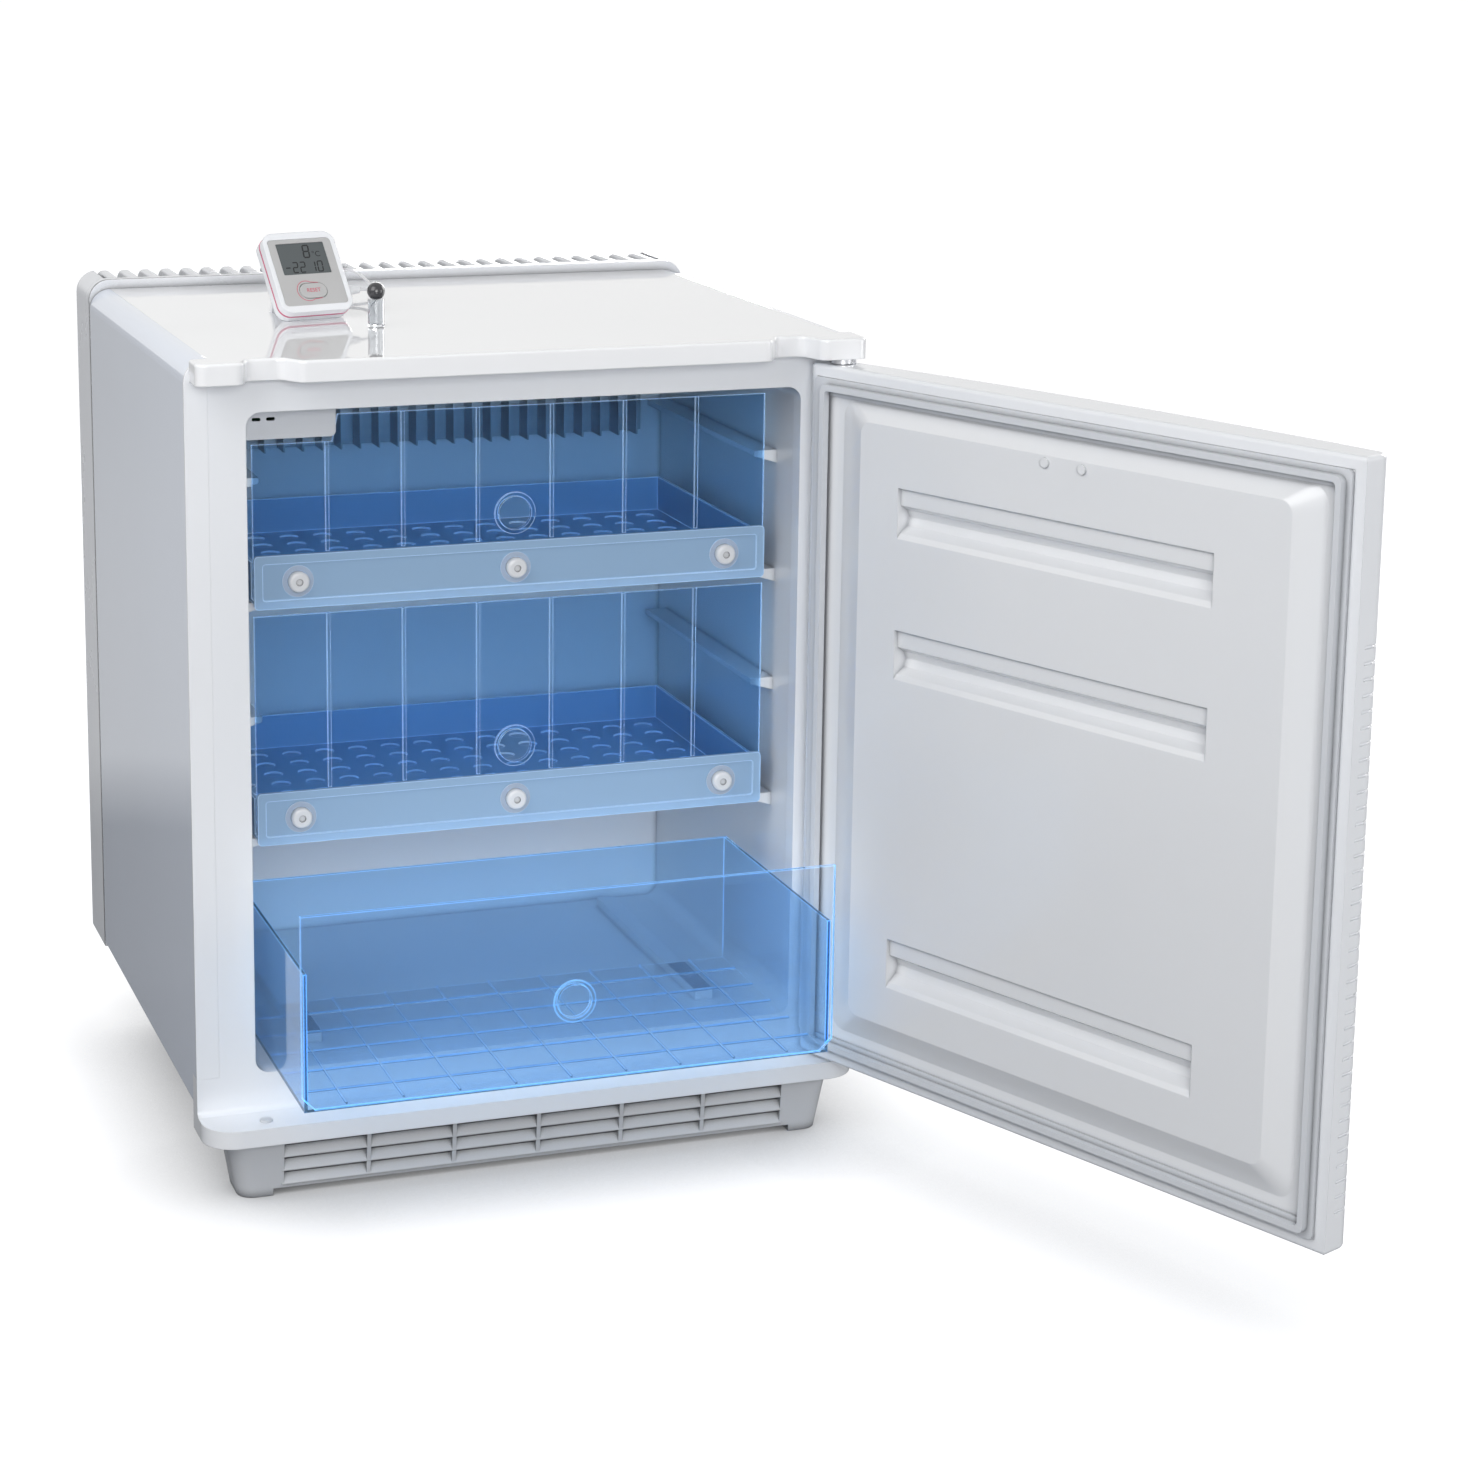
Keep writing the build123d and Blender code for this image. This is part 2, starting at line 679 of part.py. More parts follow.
coil_left = -185
coil_right = 95
coil_y = unit_y - 22
coil_levels = (430, 375, 320, 265, 210)
coil_points = [(coil_left, coil_y, 458)]
for i, level in enumerate(coil_levels):
    ends = (coil_left, coil_right) if i % 2 == 0 else (coil_right, coil_left)
    coil_points.append((ends[0], coil_y, level))
    coil_points.append((ends[1], coil_y, level - 8))
coil_points.append((coil_right, coil_y, 150))
with BuildPart() as absorber_coil:
    with BuildLine():
        coil_route = FilletPolyline(*coil_points, radius=18)
    with BuildSketch(Plane(origin=coil_route @ 0, z_dir=coil_route % 0)):
        Circle(tube_radius)
    sweep()
keep(absorber_coil, "absorber_coil")

with BuildPart() as absorber_vessel:
    with BuildSketch(Plane.YZ.offset(-150)):
        with Locations((unit_y - 8, 125)):
            Circle(24)
    extrude(amount=258)
    fillet(absorber_vessel.edges().filter_by(GeomType.CIRCLE), radius=10)
keep(absorber_vessel, "absorber_vessel")

# Mains lead gland, screwed into the foot band of the rear cover
with BuildPart() as cord_gland:
    with BuildSketch(Plane.XZ.offset(-back_y)):
        with Locations(gland_place):
            RegularPolygon(radius=gland_radius + 3, side_count=6)
    extrude(amount=-5)
    with BuildSketch(Plane.XZ.offset(-back_y)):
        with Locations(gland_place):
            Circle(gland_radius)
    extrude(amount=18)
    with BuildSketch(Plane.XZ.offset(-(back_y + 5))):
        with Locations(gland_place):
            Circle(gland_bore_radius)
    extrude(amount=23, mode=Mode.SUBTRACT)
keep(cord_gland, "cord_gland")

# Hinge pins and the catch stud, fixed to the cabinet
with BuildPart() as hinge_pin_lower:
    with BuildSketch(Plane.XY.offset(lip_top_z - 10)):
        with Locations((pin_x, pin_y)):
            Circle(pin_radius)
    extrude(amount=22)
    with BuildSketch(Plane.XY.offset(lip_top_z)):
        with Locations((pin_x, pin_y)):
            Circle(bush_radius + 2)
    extrude(amount=door_bottom_z - 0.3 - lip_top_z)
keep(hinge_pin_lower, "hinge_pin_lower")

with BuildPart() as hinge_pin_upper:
    with BuildSketch(Plane.XY.offset(door_top_z - 8)):
        with Locations((pin_x, pin_y)):
            Circle(pin_radius)
    extrude(amount=cover_skirt_z + 8 - door_top_z + 8)
    with BuildSketch(Plane.XY.offset(door_top_z + 0.5)):
        with Locations((pin_x, pin_y)):
            Circle(bush_radius + 1.5)
    extrude(amount=cover_skirt_z - door_top_z - 0.5)
keep(hinge_pin_upper, "hinge_pin_upper")

with BuildPart() as catch_stud:
    with BuildSketch(Plane.XY.offset(lip_top_z)):
        with Locations((-199, pin_y)):
            Circle(4.5)
    extrude(amount=1.8)
    fillet(catch_stud.faces().sort_by(Axis.Z)[-1].edges(), radius=1)
keep(catch_stud, "catch_stud")

# Door


def door_outline(inset):
    """The door's plan outline, drawn shut, moved in from every side but the back."""
    with BuildSketch() as outline:
        with BuildLine():
            Line((door_left + inset, door_back_y), (door_right - inset, door_back_y))
            Line((door_right - inset, door_back_y), (door_right - inset, door_edge_y + inset))
            ThreePointArc(
                (door_right - inset, door_edge_y + inset),
                ((door_left + door_right) / 2, door_front_y + inset),
                (door_left + inset, door_edge_y + inset),
            )
            Line((door_left + inset, door_edge_y + inset), (door_left + inset, door_back_y))
        make_face()
        fillet(outline.vertices().group_by(Axis.Y)[0], radius=door_edge_radius - inset)
        hinge_corner = outline.vertices().sort_by(Axis.X)[-2:].group_by(Axis.Y)[-1]
        fillet(hinge_corner, radius=hinge_corner_radius - inset)
    return outline.sketch


def door_x(reach):
    """The X place of a point this far from the pin, with the door drawn shut."""
    return pin_x - reach


def door_box(reach_start, reach_end, z_start, z_end):
    """Middle and size of a rectangle on the door's inner face, for a sketch on XZ."""
    middle = (pin_x - (reach_start + reach_end) / 2, (z_start + z_end) / 2)
    return middle, (reach_end - reach_start, z_end - z_start)


def keep_on_door(builder, name):
    """Swing a piece drawn on the shut door to the door's rest pose, then keep it."""
    swung = builder.part.rotate(Axis((pin_x, pin_y, 0), (0, 0, 1)), door_angle)
    swung.label = name
    finished.append(swung)


door_end = pin_x - door_left
with BuildPart() as door_panel:
    with BuildSketch(Plane.XY.offset(door_bottom_z)):
        add(door_outline(0))
    extrude(amount=door_top_z - door_bottom_z)
    rim_edges = door_panel.edges().filter_by_position(
        Axis.Y, door_front_y - 1, door_edge_y + door_edge_radius + 1
    )
    fillet(rim_edges.filter_by(Axis.Z, reverse=True), radius=3)
    # Fluted lower part: gaps run round the front and the free edge, clear of the back corner
    flute_count = int((flutes_top_z - door_bottom_z - 10) / flute_pitch)
    gap_planes = [
        Plane.XY.offset(flutes_top_z - flute_gap - i * flute_pitch) for i in range(flute_count)
    ]
    with BuildSketch(*gap_planes):
        add(door_outline(0))
        add(door_outline(flute_depth), mode=Mode.SUBTRACT)
        with Locations(((door_left + door_right) / 2, door_back_y)):
            Rectangle(600, 2 * (hinge_corner_radius + 1), mode=Mode.SUBTRACT)
    extrude(amount=flute_gap, mode=Mode.SUBTRACT)
    # Hollow, with a narrow return all round the open back
    with BuildSketch(Plane.XY.offset(door_bottom_z + door_skin)):
        add(door_outline(flute_depth + door_skin))
        with Locations(((door_left + door_right) / 2, door_back_y)):
            Rectangle(door_right - door_left, 2 * liner_thickness, mode=Mode.SUBTRACT)
    extrude(amount=door_top_z - door_bottom_z - 2 * door_skin, mode=Mode.SUBTRACT)
    back_middle, back_size = door_box(
        door_x(door_right) + return_width,
        door_end - return_width,
        door_bottom_z + return_width,
        door_top_z - return_width,
    )
    with BuildSketch(Plane.XZ.offset(-door_back_y)):
        with Locations(back_middle):
            Rectangle(*back_size)
    extrude(amount=2 * liner_thickness, mode=Mode.SUBTRACT)
    with BuildSketch(Plane.XY.offset(door_bottom_z)):
        with Locations((pin_x, pin_y)):
            Circle(bush_radius)
    extrude(amount=door_top_z - door_bottom_z, mode=Mode.SUBTRACT)
keep_on_door(door_panel, "door_panel")

with BuildPart() as door_foam:
    with BuildSketch(Plane.XY.offset(door_bottom_z + 6)):
        add(door_outline(flute_depth + door_skin + 0.5))
        with Locations(((door_left + door_right) / 2, door_back_y + 6)):
            Rectangle(600, 28, mode=Mode.SUBTRACT)
        with Locations((door_right, door_back_y)):
            Rectangle(64, 200, mode=Mode.SUBTRACT)
    extrude(amount=door_top_z - door_bottom_z - 12)
keep_on_door(door_foam, "door_foam")

groove_bands = ((461, 498.5), (361, 398), (135, 173))
groove_start = 79
groove_end = 352.5
foot_middle, foot_size = door_box(17, 431, 88, 551)
ridge_middle, ridge_size = door_box(42, 411, 107, 540)
with BuildPart() as door_liner:
    with BuildSketch(Plane.XZ.offset(-door_back_y)):
        with Locations(back_middle):
            Rectangle(back_size[0] - 0.4, back_size[1] - 0.4)
    extrude(amount=liner_thickness)
    with BuildSketch(Plane.XZ.offset(-door_back_y)):
        with Locations(foot_middle):
            RectangleRounded(*foot_size, 12)
    with BuildSketch(Plane.XZ.offset(-(door_back_y + block_height))):
        with Locations(ridge_middle):
            RectangleRounded(*ridge_size, 9)
    loft()
    with BuildSketch(Plane.XZ.offset(-(door_back_y - liner_thickness))):
        with Locations(foot_middle):
            RectangleRounded(foot_size[0] - 4, foot_size[1] - 4, 10)
    with BuildSketch(Plane.XZ.offset(-(door_back_y + block_height - liner_thickness))):
        with Locations(ridge_middle):
            RectangleRounded(ridge_size[0] - 4, ridge_size[1] - 4, 7)
    loft(mode=Mode.SUBTRACT)
    # Each bottle groove has a wall of its own behind the block's face
    for low, high in groove_bands:
        groove_middle, groove_size = door_box(groove_start, groove_end, low, high)
        with BuildSketch(Plane.XZ.offset(-(door_back_y + block_height - 1))):
            with Locations(groove_middle):
                Rectangle(groove_size[0] + 4, groove_size[1] + 4)
        extrude(amount=block_height + 5)
        with BuildSketch(Plane.YZ.offset(door_x(groove_end))):
            with BuildLine():
                face = door_back_y + block_height + 1
                Polyline(
                    (face, high),
                    (door_back_y + block_height - 3, high - 2),
                    (door_back_y + block_height - 3, high - 13),
                    (door_back_y - 1, high - 17),
                    (door_back_y - 3, high - 22),
                    (door_back_y - 1, high - 28),
                    (door_back_y + block_height - 2.5, low + 5),
                    (face, low),
                    close=True,
                )
            make_face()
        extrude(amount=groove_end - groove_start, mode=Mode.SUBTRACT)
    # Two small moulded bumps above the top groove
    with BuildSketch(Plane.XZ.offset(-(door_back_y + block_height))):
        with Locations((door_x(211), 535), (door_x(243), 535)):
            Circle(3.4)
    extrude(amount=-1.6)
keep_on_door(door_liner, "door_liner")

gasket_ring = door_box(
    door_x(door_right) + return_width, door_end - return_width,
    door_bottom_z + return_width, door_top_z - return_width,
)
contact_ring = door_box(-1, door_end - return_width - 4, 72, door_top_z - return_width - 4)
with BuildPart() as door_gasket:
    with BuildSketch(Plane.XZ.offset(-door_back_y)):
        with Locations(gasket_ring[0]):
            RectangleRounded(gasket_ring[1][0], gasket_ring[1][1], 4)
            Rectangle(
                gasket_ring[1][0] - 2 * gasket_width,
                gasket_ring[1][1] - 2 * gasket_width,
                mode=Mode.SUBTRACT,
            )
    extrude(amount=-gasket_base)
    with BuildSketch(Plane.XZ.offset(-(door_back_y + gasket_base))):
        with Locations(contact_ring[0]):
            RectangleRounded(*contact_ring[1], 5)
            RectangleRounded(
                contact_ring[1][0] - 9, contact_ring[1][1] - 9, 3, mode=Mode.SUBTRACT
            )
    extrude(amount=-(trim_gap - gasket_base - gasket_gap))
keep_on_door(door_gasket, "door_gasket")

for z_start, name in ((door_bottom_z, "hinge_bush_lower"), (door_top_z - 10, "hinge_bush_upper")):
    with BuildPart() as hinge_bush:
        with BuildSketch(Plane.XY.offset(z_start)):
            with Locations((pin_x, pin_y)):
                Circle(bush_radius)
                Circle(pin_radius + pin_play, mode=Mode.SUBTRACT)
        extrude(amount=10)
    keep_on_door(hinge_bush, name)

# Shelf drawers: a tray with a rail in front, and a clear panel held by three knobs
knob_places = (-rivet_spacing, 0, rivet_spacing)
dimple_pitch = 26
dimple_radius = 7
dimple_depth = 1.2
panel_y = rail_y + 3
panel_thickness = 2.2


def tray_with_rail(rail_z):
    """One blue tray: rail in front, dimpled floor, low walls."""
    floor_z = rail_z + runner_drop + runner_play
    middle_y = (panel_y + rail_y + tray_depth) / 2
    inner_depth = rail_y + tray_depth - panel_y
    with BuildPart() as tray:
        with BuildSketch(Plane.XZ.offset(-rail_y)):
            with Locations((0, rail_z + rail_height / 2)):
                RectangleRounded(2 * tray_half_width, rail_height, 3)
        extrude(amount=-3)
        with BuildSketch(Plane.XZ.offset(-rail_y)):
            with Locations((0, rail_z + rail_height / 2)):
                RectangleRounded(2 * tray_half_width - 12, rail_height - 12, 2)
        extrude(amount=-1.2, mode=Mode.SUBTRACT)
        with BuildSketch(Plane.XY.offset(floor_z)):
            with Locations((0, middle_y)):
                Rectangle(2 * tray_half_width, inner_depth)
        extrude(amount=tray_wall)
        with BuildSketch(Plane.XY.offset(floor_z)):
            with Locations((0, middle_y + 4)):
                Rectangle(2 * tray_half_width, inner_depth - 8)
                Rectangle(
                    2 * (tray_half_width - tray_wall), inner_depth - 8, mode=Mode.SUBTRACT
                )
            with Locations((0, rail_y + tray_depth - tray_wall / 2)):
                Rectangle(2 * tray_half_width, tray_wall)
        extrude(amount=rail_height - runner_drop - 6)
        with BuildSketch(Plane.XY.offset(floor_z + tray_wall)):
            with Locations((0, middle_y)):
                with GridLocations(dimple_pitch, dimple_pitch, 14, 8):
                    Circle(dimple_radius)
        extrude(amount=-dimple_depth, mode=Mode.SUBTRACT)
        with BuildSketch(Plane.XZ.offset(-rail_y)):
            with Locations(*[(x, rail_z + rail_height / 2) for x in knob_places]):
                Circle(3)
        extrude(amount=-3, mode=Mode.SUBTRACT)
    return tray


def clear_panel(rail_z, top_z, notch_z):
    """One clear front panel with ribs and a ringed finger hole; its left end may be lower."""
    foot_z = rail_z + runner_drop + runner_play + tray_wall
    hole_z = rail_z + 58
    notch_x = -128
    edge = tray_half_width
    with BuildPart() as panel:
        with BuildSketch(Plane.XZ.offset(-panel_y)):
            with BuildLine():
                Polyline(
                    (-edge, foot_z), (edge, foot_z), (edge, top_z), (notch_x, top_z),
                    (notch_x - 4, notch_z), (-edge, notch_z), close=True,
                )
            make_face()
            with Locations((0, hole_z)):
                Circle(finger_hole_radius, mode=Mode.SUBTRACT)
            with Locations(*[(x, rail_z + rail_height / 2) for x in knob_places]):
                Circle(3, mode=Mode.SUBTRACT)
        extrude(amount=-panel_thickness)
        with BuildSketch(Plane.XZ.offset(-panel_y)):
            with Locations((0, hole_z)):
                Circle(finger_hole_radius + finger_rim)
                Circle(finger_hole_radius, mode=Mode.SUBTRACT)
        extrude(amount=1.8)
        for i in (-5, -3, -1, 1, 3, 5):
            rib_top = top_z if i > -5 else notch_z
            rib_foot = rail_z + rail_height + 1
            with BuildSketch(Plane.XZ.offset(-panel_y)):
                with Locations((i * rib_pitch / 2, (rib_foot + rib_top) / 2)):
                    Rectangle(2.4, rib_top - rib_foot)
            extrude(amount=1.2)
    return panel


def knobs(rail_z):
    """The three round knobs that fasten one clear panel to its rail."""
    places = [(x, rail_z + rail_height / 2) for x in knob_places]
    with BuildPart() as knob_set:
        with BuildSketch(Plane.XZ.offset(-(rail_y + 1.2))):
            with Locations(*places):
                Circle(7.5)
        extrude(amount=6)
        fillet(knob_set.faces().sort_by(Axis.Y)[:3].edges(), radius=2.2)
        with BuildSketch(Plane.XZ.offset(-(rail_y - 4.8))):
            with Locations(*places):
                Circle(2.6)
        extrude(amount=-1.2, mode=Mode.SUBTRACT)
        with BuildSketch(Plane.XZ.offset(-(rail_y + 1.2))):
            with Locations(*places):
                Circle(2.9)
        extrude(amount=-(panel_y + panel_thickness - rail_y - 1.2 + 1.5))
        with BuildSketch(Plane.XZ.offset(-(panel_y + panel_thickness))):
            with Locations(*places):
                Circle(5)
        extrude(amount=-1.5)
    return knob_set


keep(tray_with_rail(upper_rail_z), "upper_tray")
keep(clear_panel(upper_rail_z, 543.5, 524.5), "upper_tray_panel")
keep(knobs(upper_rail_z), "upper_tray_knobs")
keep(tray_with_rail(middle_rail_z), "middle_tray")
keep(clear_panel(middle_rail_z, 403, 403), "middle_tray_panel")
keep(knobs(middle_rail_z), "middle_tray_knobs")

# Bottom drawer: a clear tub with a flat front sheet, pulled out as far as in the photograph
tub_half_width = 190
tub_middle_y = drawer_front_y + drawer_depth / 2
tub_floor = 2.2
grid_height = 1.4
grid_width = 1.6
finger_z = 152
with BuildPart() as drawer_tub:
    with BuildSketch(Plane.XY.offset(drawer_floor_z)):
        with Locations((0, tub_middle_y)):
            Rectangle(2 * tub_half_width, drawer_depth)
    extrude(amount=drawer_wall_z - drawer_floor_z)
    with BuildSketch(Plane.XY.offset(drawer_floor_z + tub_floor)):
        with Locations((0, tub_middle_y - tray_wall)):
            Rectangle(2 * (tub_half_width - tray_wall), drawer_depth)
    extrude(amount=drawer_wall_z - drawer_floor_z, mode=Mode.SUBTRACT)
    # Low ribs cross on the floor
    with BuildSketch(Plane.XY.offset(drawer_floor_z + tub_floor)):
        with GridLocations(40, 1, 9, 1):
            with Locations((0, tub_middle_y)):
                Rectangle(grid_width, drawer_depth - 6)
        with Locations((0, tub_middle_y)):
            with GridLocations(1, 37, 1, 5):
                Rectangle(2 * tub_half_width - 6, grid_width)
    extrude(amount=grid_height)
keep(drawer_tub, "drawer_tub")

with BuildPart() as drawer_panel:
    with BuildSketch(Plane.XZ.offset(-drawer_front_y)) as sheet_outline:
        with Locations((0, (drawer_floor_z + 2 + drawer_panel_top_z) / 2)):
            Rectangle(2 * drawer_panel_half_width, drawer_panel_top_z - drawer_floor_z - 2)
        chamfer(sheet_outline.vertices().group_by(Axis.Y)[0], length=9)
        with Locations((0, finger_z)):
            Circle(finger_hole_radius, mode=Mode.SUBTRACT)
    extrude(amount=3)
    with BuildSketch(Plane.XZ.offset(-drawer_front_y + 3)):
        with Locations((0, finger_z)):
            Circle(finger_hole_radius + finger_rim)
            Circle(finger_hole_radius, mode=Mode.SUBTRACT)
    extrude(amount=1.5)
keep(drawer_panel, "drawer_panel")

# Thermometer: its foot edge lies along local X, its face looks along local Z
turn = radians(meter_turn)
lean = radians(meter_lean)
meter_plane = Plane(
    origin=(meter_x, meter_y, cabinet_height),
    x_dir=(cos(turn), sin(turn), 0),
    z_dir=(sin(turn) * cos(lean), -cos(turn) * cos(lean), sin(lean)),
)


def meter_level(height):
    """A sketching plane at this height above the back of the leaning case."""
    return meter_plane.offset(height)


with BuildPart() as meter_back:
    with BuildSketch(meter_level(0)):
        with Locations((0, meter_height / 2)):
            RectangleRounded(meter_width, meter_height, 9)
    extrude(amount=meter_seam)
    with BuildSketch(meter_level(1.8)):
        with Locations((0, meter_height / 2)):
            RectangleRounded(meter_width - 3.6, meter_height - 3.6, 7)
    extrude(amount=meter_seam, mode=Mode.SUBTRACT)
    # Jack for the sensor plug
    with BuildSketch(meter_level(1)):
        with Locations((meter_width / 2 - 5, jack_height)):
            Rectangle(8, 12)
    extrude(amount=meter_seam - 1)
keep(meter_back, "meter_back")

with BuildPart() as meter_ring:
    with BuildSketch(meter_level(meter_seam)):
        with Locations((0, meter_height / 2)):
            RectangleRounded(meter_width - 0.6, meter_height - 0.6, 8.7)
            RectangleRounded(meter_width - 4, meter_height - 4, 7, mode=Mode.SUBTRACT)
    extrude(amount=1)
keep(meter_ring, "meter_ring")

with BuildPart() as meter_front:
    with BuildSketch(meter_level(meter_seam + 1)):
        with Locations((0, meter_height / 2)):
            RectangleRounded(meter_width, meter_height, 9)
    extrude(amount=meter_depth - meter_seam - 1)
    with BuildSketch(meter_level(meter_seam + 1)):
        with Locations((0, meter_height / 2)):
            RectangleRounded(meter_width - 4, meter_height - 4, 7)
    extrude(amount=meter_depth - meter_seam - 3, mode=Mode.SUBTRACT)
    with BuildSketch(meter_level(meter_depth)):
        with Locations((0, meter_height / 2)):
            RectangleRounded(51, 54, 3)
    extrude(amount=-1, mode=Mode.SUBTRACT)
    with BuildSketch(meter_level(meter_depth)):
        with Locations(display_middle):
            RectangleRounded(39, 26, 1)
        with Locations(reset_middle):
            SlotOverall(22.6, 13.2)
    extrude(amount=-4, mode=Mode.SUBTRACT)
keep(meter_front, "meter_front")

with BuildPart() as meter_face:
    with BuildSketch(meter_level(meter_depth - 1)):
        with Locations((0, meter_height / 2)):
            RectangleRounded(50.8, 53.8, 3)
        with Locations(display_middle):
            RectangleRounded(38.6, 25.6, 1, mode=Mode.SUBTRACT)
        with Locations(reset_middle):
            SlotOverall(22.2, 12.8, mode=Mode.SUBTRACT)
    extrude(amount=0.7)
keep(meter_face, "meter_face")

with BuildPart() as meter_display:
    with BuildSketch(meter_level(meter_depth - 3.5)):
        with Locations(display_middle):
            Rectangle(42, 29)
    extrude(amount=1.5)
    with BuildSketch(meter_level(meter_depth - 2)):
        with Locations(display_middle):
            RectangleRounded(38.4, 25.4, 1)
    extrude(amount=1.3)
keep(meter_display, "meter_display")

with BuildPart() as meter_board:
    with BuildSketch(meter_level(1.8)):
        with Locations((-4, meter_height / 2)):
            Rectangle(meter_width - 16, meter_height - 10)
    extrude(amount=1.6)
keep(meter_board, "meter_board")

with BuildPart() as reset_button:
    with BuildSketch(meter_level(meter_depth - 4)):
        with Locations(reset_middle):
            SlotOverall(21.4, 12)
    extrude(amount=4.4)
    fillet(reset_button.faces().sort_by(Axis.Z)[-1].edges(), radius=0.8)
keep(reset_button, "reset_button")

# The stand leg is hinged on the back of the case and reaches back to the cabinet's top
leg_hinge_height = 46
leg_width = 22
leg_side = Plane(origin=meter_plane.origin, x_dir=meter_plane.z_dir, z_dir=-meter_plane.x_dir)
with BuildPart() as stand_leg:
    with BuildSketch(leg_side.offset(-leg_width / 2)):
        with BuildLine():
            Polyline(
                (-1.6, leg_hinge_height - 3),
                (-1.6, leg_hinge_height + 2),
                (-4.8, leg_hinge_height + 2),
                (-40.2, 28.18),
                (-37.2, 26.08),
                close=True,
            )
        make_face()
    extrude(amount=leg_width)
keep(stand_leg, "stand_leg")

plug_length = 11
plug_level = meter_depth / 2
with BuildPart() as sensor_plug:
    with BuildSketch(Plane(
        origin=meter_plane.from_local_coords((meter_width / 2, jack_height, plug_level)),
        x_dir=meter_plane.y_dir,
        z_dir=meter_plane.x_dir,
    )):
        Circle(3.8)
    extrude(amount=plug_length, taper=7)
keep(sensor_plug, "sensor_plug")

with BuildPart() as probe_vial:
    with BuildSketch(Plane.XY.offset(cabinet_height)):
        with Locations((vial_x, vial_y)):
            Circle(vial_radius)
    extrude(amount=vial_height)
    fillet(probe_vial.faces().sort_by(Axis.Z)[0].edges(), radius=1.5)
    with BuildSketch(Plane.XY.offset(cabinet_height + 2)):
        with Locations((vial_x, vial_y)):
            Circle(vial_radius - 1)
    extrude(amount=vial_height, mode=Mode.SUBTRACT)
keep(probe_vial, "probe_vial")

cap_z = cabinet_height + vial_height + 5.6
with BuildPart() as probe_cap:
    with Locations((vial_x, vial_y, cap_z)):
        Sphere(6.4)
    with BuildSketch(Plane.XY.offset(cabinet_height + vial_height - 2)):
        with Locations((vial_x, vial_y)):
            Rectangle(20, 20)
    extrude(amount=2, mode=Mode.SUBTRACT)
    with BuildSketch(Plane.XZ.offset(-vial_y)):
        with Locations((vial_x, cap_z + 2)):
            Circle(2)
    extrude(amount=-10, mode=Mode.SUBTRACT)
keep(probe_cap, "probe_cap")

with BuildPart() as lead_sleeve:
    with BuildSketch(Plane.XZ.offset(-vial_y)):
        with Locations((vial_x, cap_z + 2)):
            Circle(2)
            Circle(lead_radius + 0.1, mode=Mode.SUBTRACT)
    extrude(amount=-11)
keep(lead_sleeve, "lead_sleeve")

plug_end = meter_plane.from_local_coords((meter_width / 2 + plug_length, jack_height, plug_level))
lead_route = [
    plug_end,
    meter_plane.from_local_coords((meter_width / 2 + 27, jack_height, plug_level)),
    (-56, front_y + 202, cabinet_height + 8),
    (-61, front_y + 222, cabinet_height + 1.2),
    (-86, front_y + 224, cabinet_height + 1.2),
    (-98, front_y + 212, cabinet_height + 16),
    (-87, front_y + 198, cabinet_height + 33),
    (-80, front_y + 161, cabinet_height + 33),
    (vial_x, vial_y + 10, cap_z + 2),
]
lead_points = [Vector(point) for point in lead_route]
lead_radii = []
for before, corner, after in zip(lead_points, lead_points[1:], lead_points[2:]):
    bend = radians((corner - before).get_angle(after - corner))
    shorter_run = min((corner - before).length, (after - corner).length)
    lead_radii.append(0.45 * shorter_run / tan(bend / 2))
print("lead radii", [round(radius, 1) for radius in lead_radii])
with BuildPart() as sensor_lead:
    with BuildLine():
        lead_line = FilletPolyline(*lead_points, radius=lead_radii)
    with BuildSketch(Plane(origin=lead_line @ 0, z_dir=lead_line % 0)):
        Circle(lead_radius)
    sweep()
print("lead length", round(lead_line.length, 1))
keep(sensor_lead, "sensor_lead")

for piece in finished:
    print(piece.label, round(piece.volume))
os.makedirs("parts", exist_ok=True)
for piece in finished:
    export_step(piece, f"parts/{piece.label}.step")
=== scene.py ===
import json
import math

import bpy
from mathutils import Matrix, Vector


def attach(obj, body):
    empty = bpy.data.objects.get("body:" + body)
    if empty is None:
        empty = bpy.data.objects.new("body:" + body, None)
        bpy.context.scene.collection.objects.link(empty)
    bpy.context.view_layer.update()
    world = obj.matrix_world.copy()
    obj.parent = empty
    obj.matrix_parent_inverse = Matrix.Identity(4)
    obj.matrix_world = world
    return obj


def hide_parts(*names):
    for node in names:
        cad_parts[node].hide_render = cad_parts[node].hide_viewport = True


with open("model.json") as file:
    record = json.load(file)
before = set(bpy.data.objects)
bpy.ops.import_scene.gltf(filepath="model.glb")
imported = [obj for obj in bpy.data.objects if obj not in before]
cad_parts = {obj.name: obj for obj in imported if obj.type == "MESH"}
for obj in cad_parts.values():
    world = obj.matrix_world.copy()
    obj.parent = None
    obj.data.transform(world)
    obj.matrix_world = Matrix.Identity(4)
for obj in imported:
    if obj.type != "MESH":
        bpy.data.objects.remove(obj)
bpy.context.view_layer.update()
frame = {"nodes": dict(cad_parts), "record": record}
print("frame loaded:", len(frame["nodes"]), "nodes")


# Small helpers for shaping pieces
def deselectAll():
    if bpy.context.object and bpy.context.object.mode != "OBJECT":
        bpy.ops.object.mode_set(mode="OBJECT")
    bpy.ops.object.select_all(action="DESELECT")


def selectFaces(piece, test):
    # In edit mode, select only the faces whose middle and normal pass the test
    bpy.ops.object.mode_set(mode="OBJECT")
    for point in piece.data.vertices:
        point.select = False
    for edge in piece.data.edges:
        edge.select = False
    for face in piece.data.polygons:
        face.select = test(face.center, face.normal)
    bpy.ops.object.mode_set(mode="EDIT")
    bpy.ops.mesh.select_mode(type="FACE")


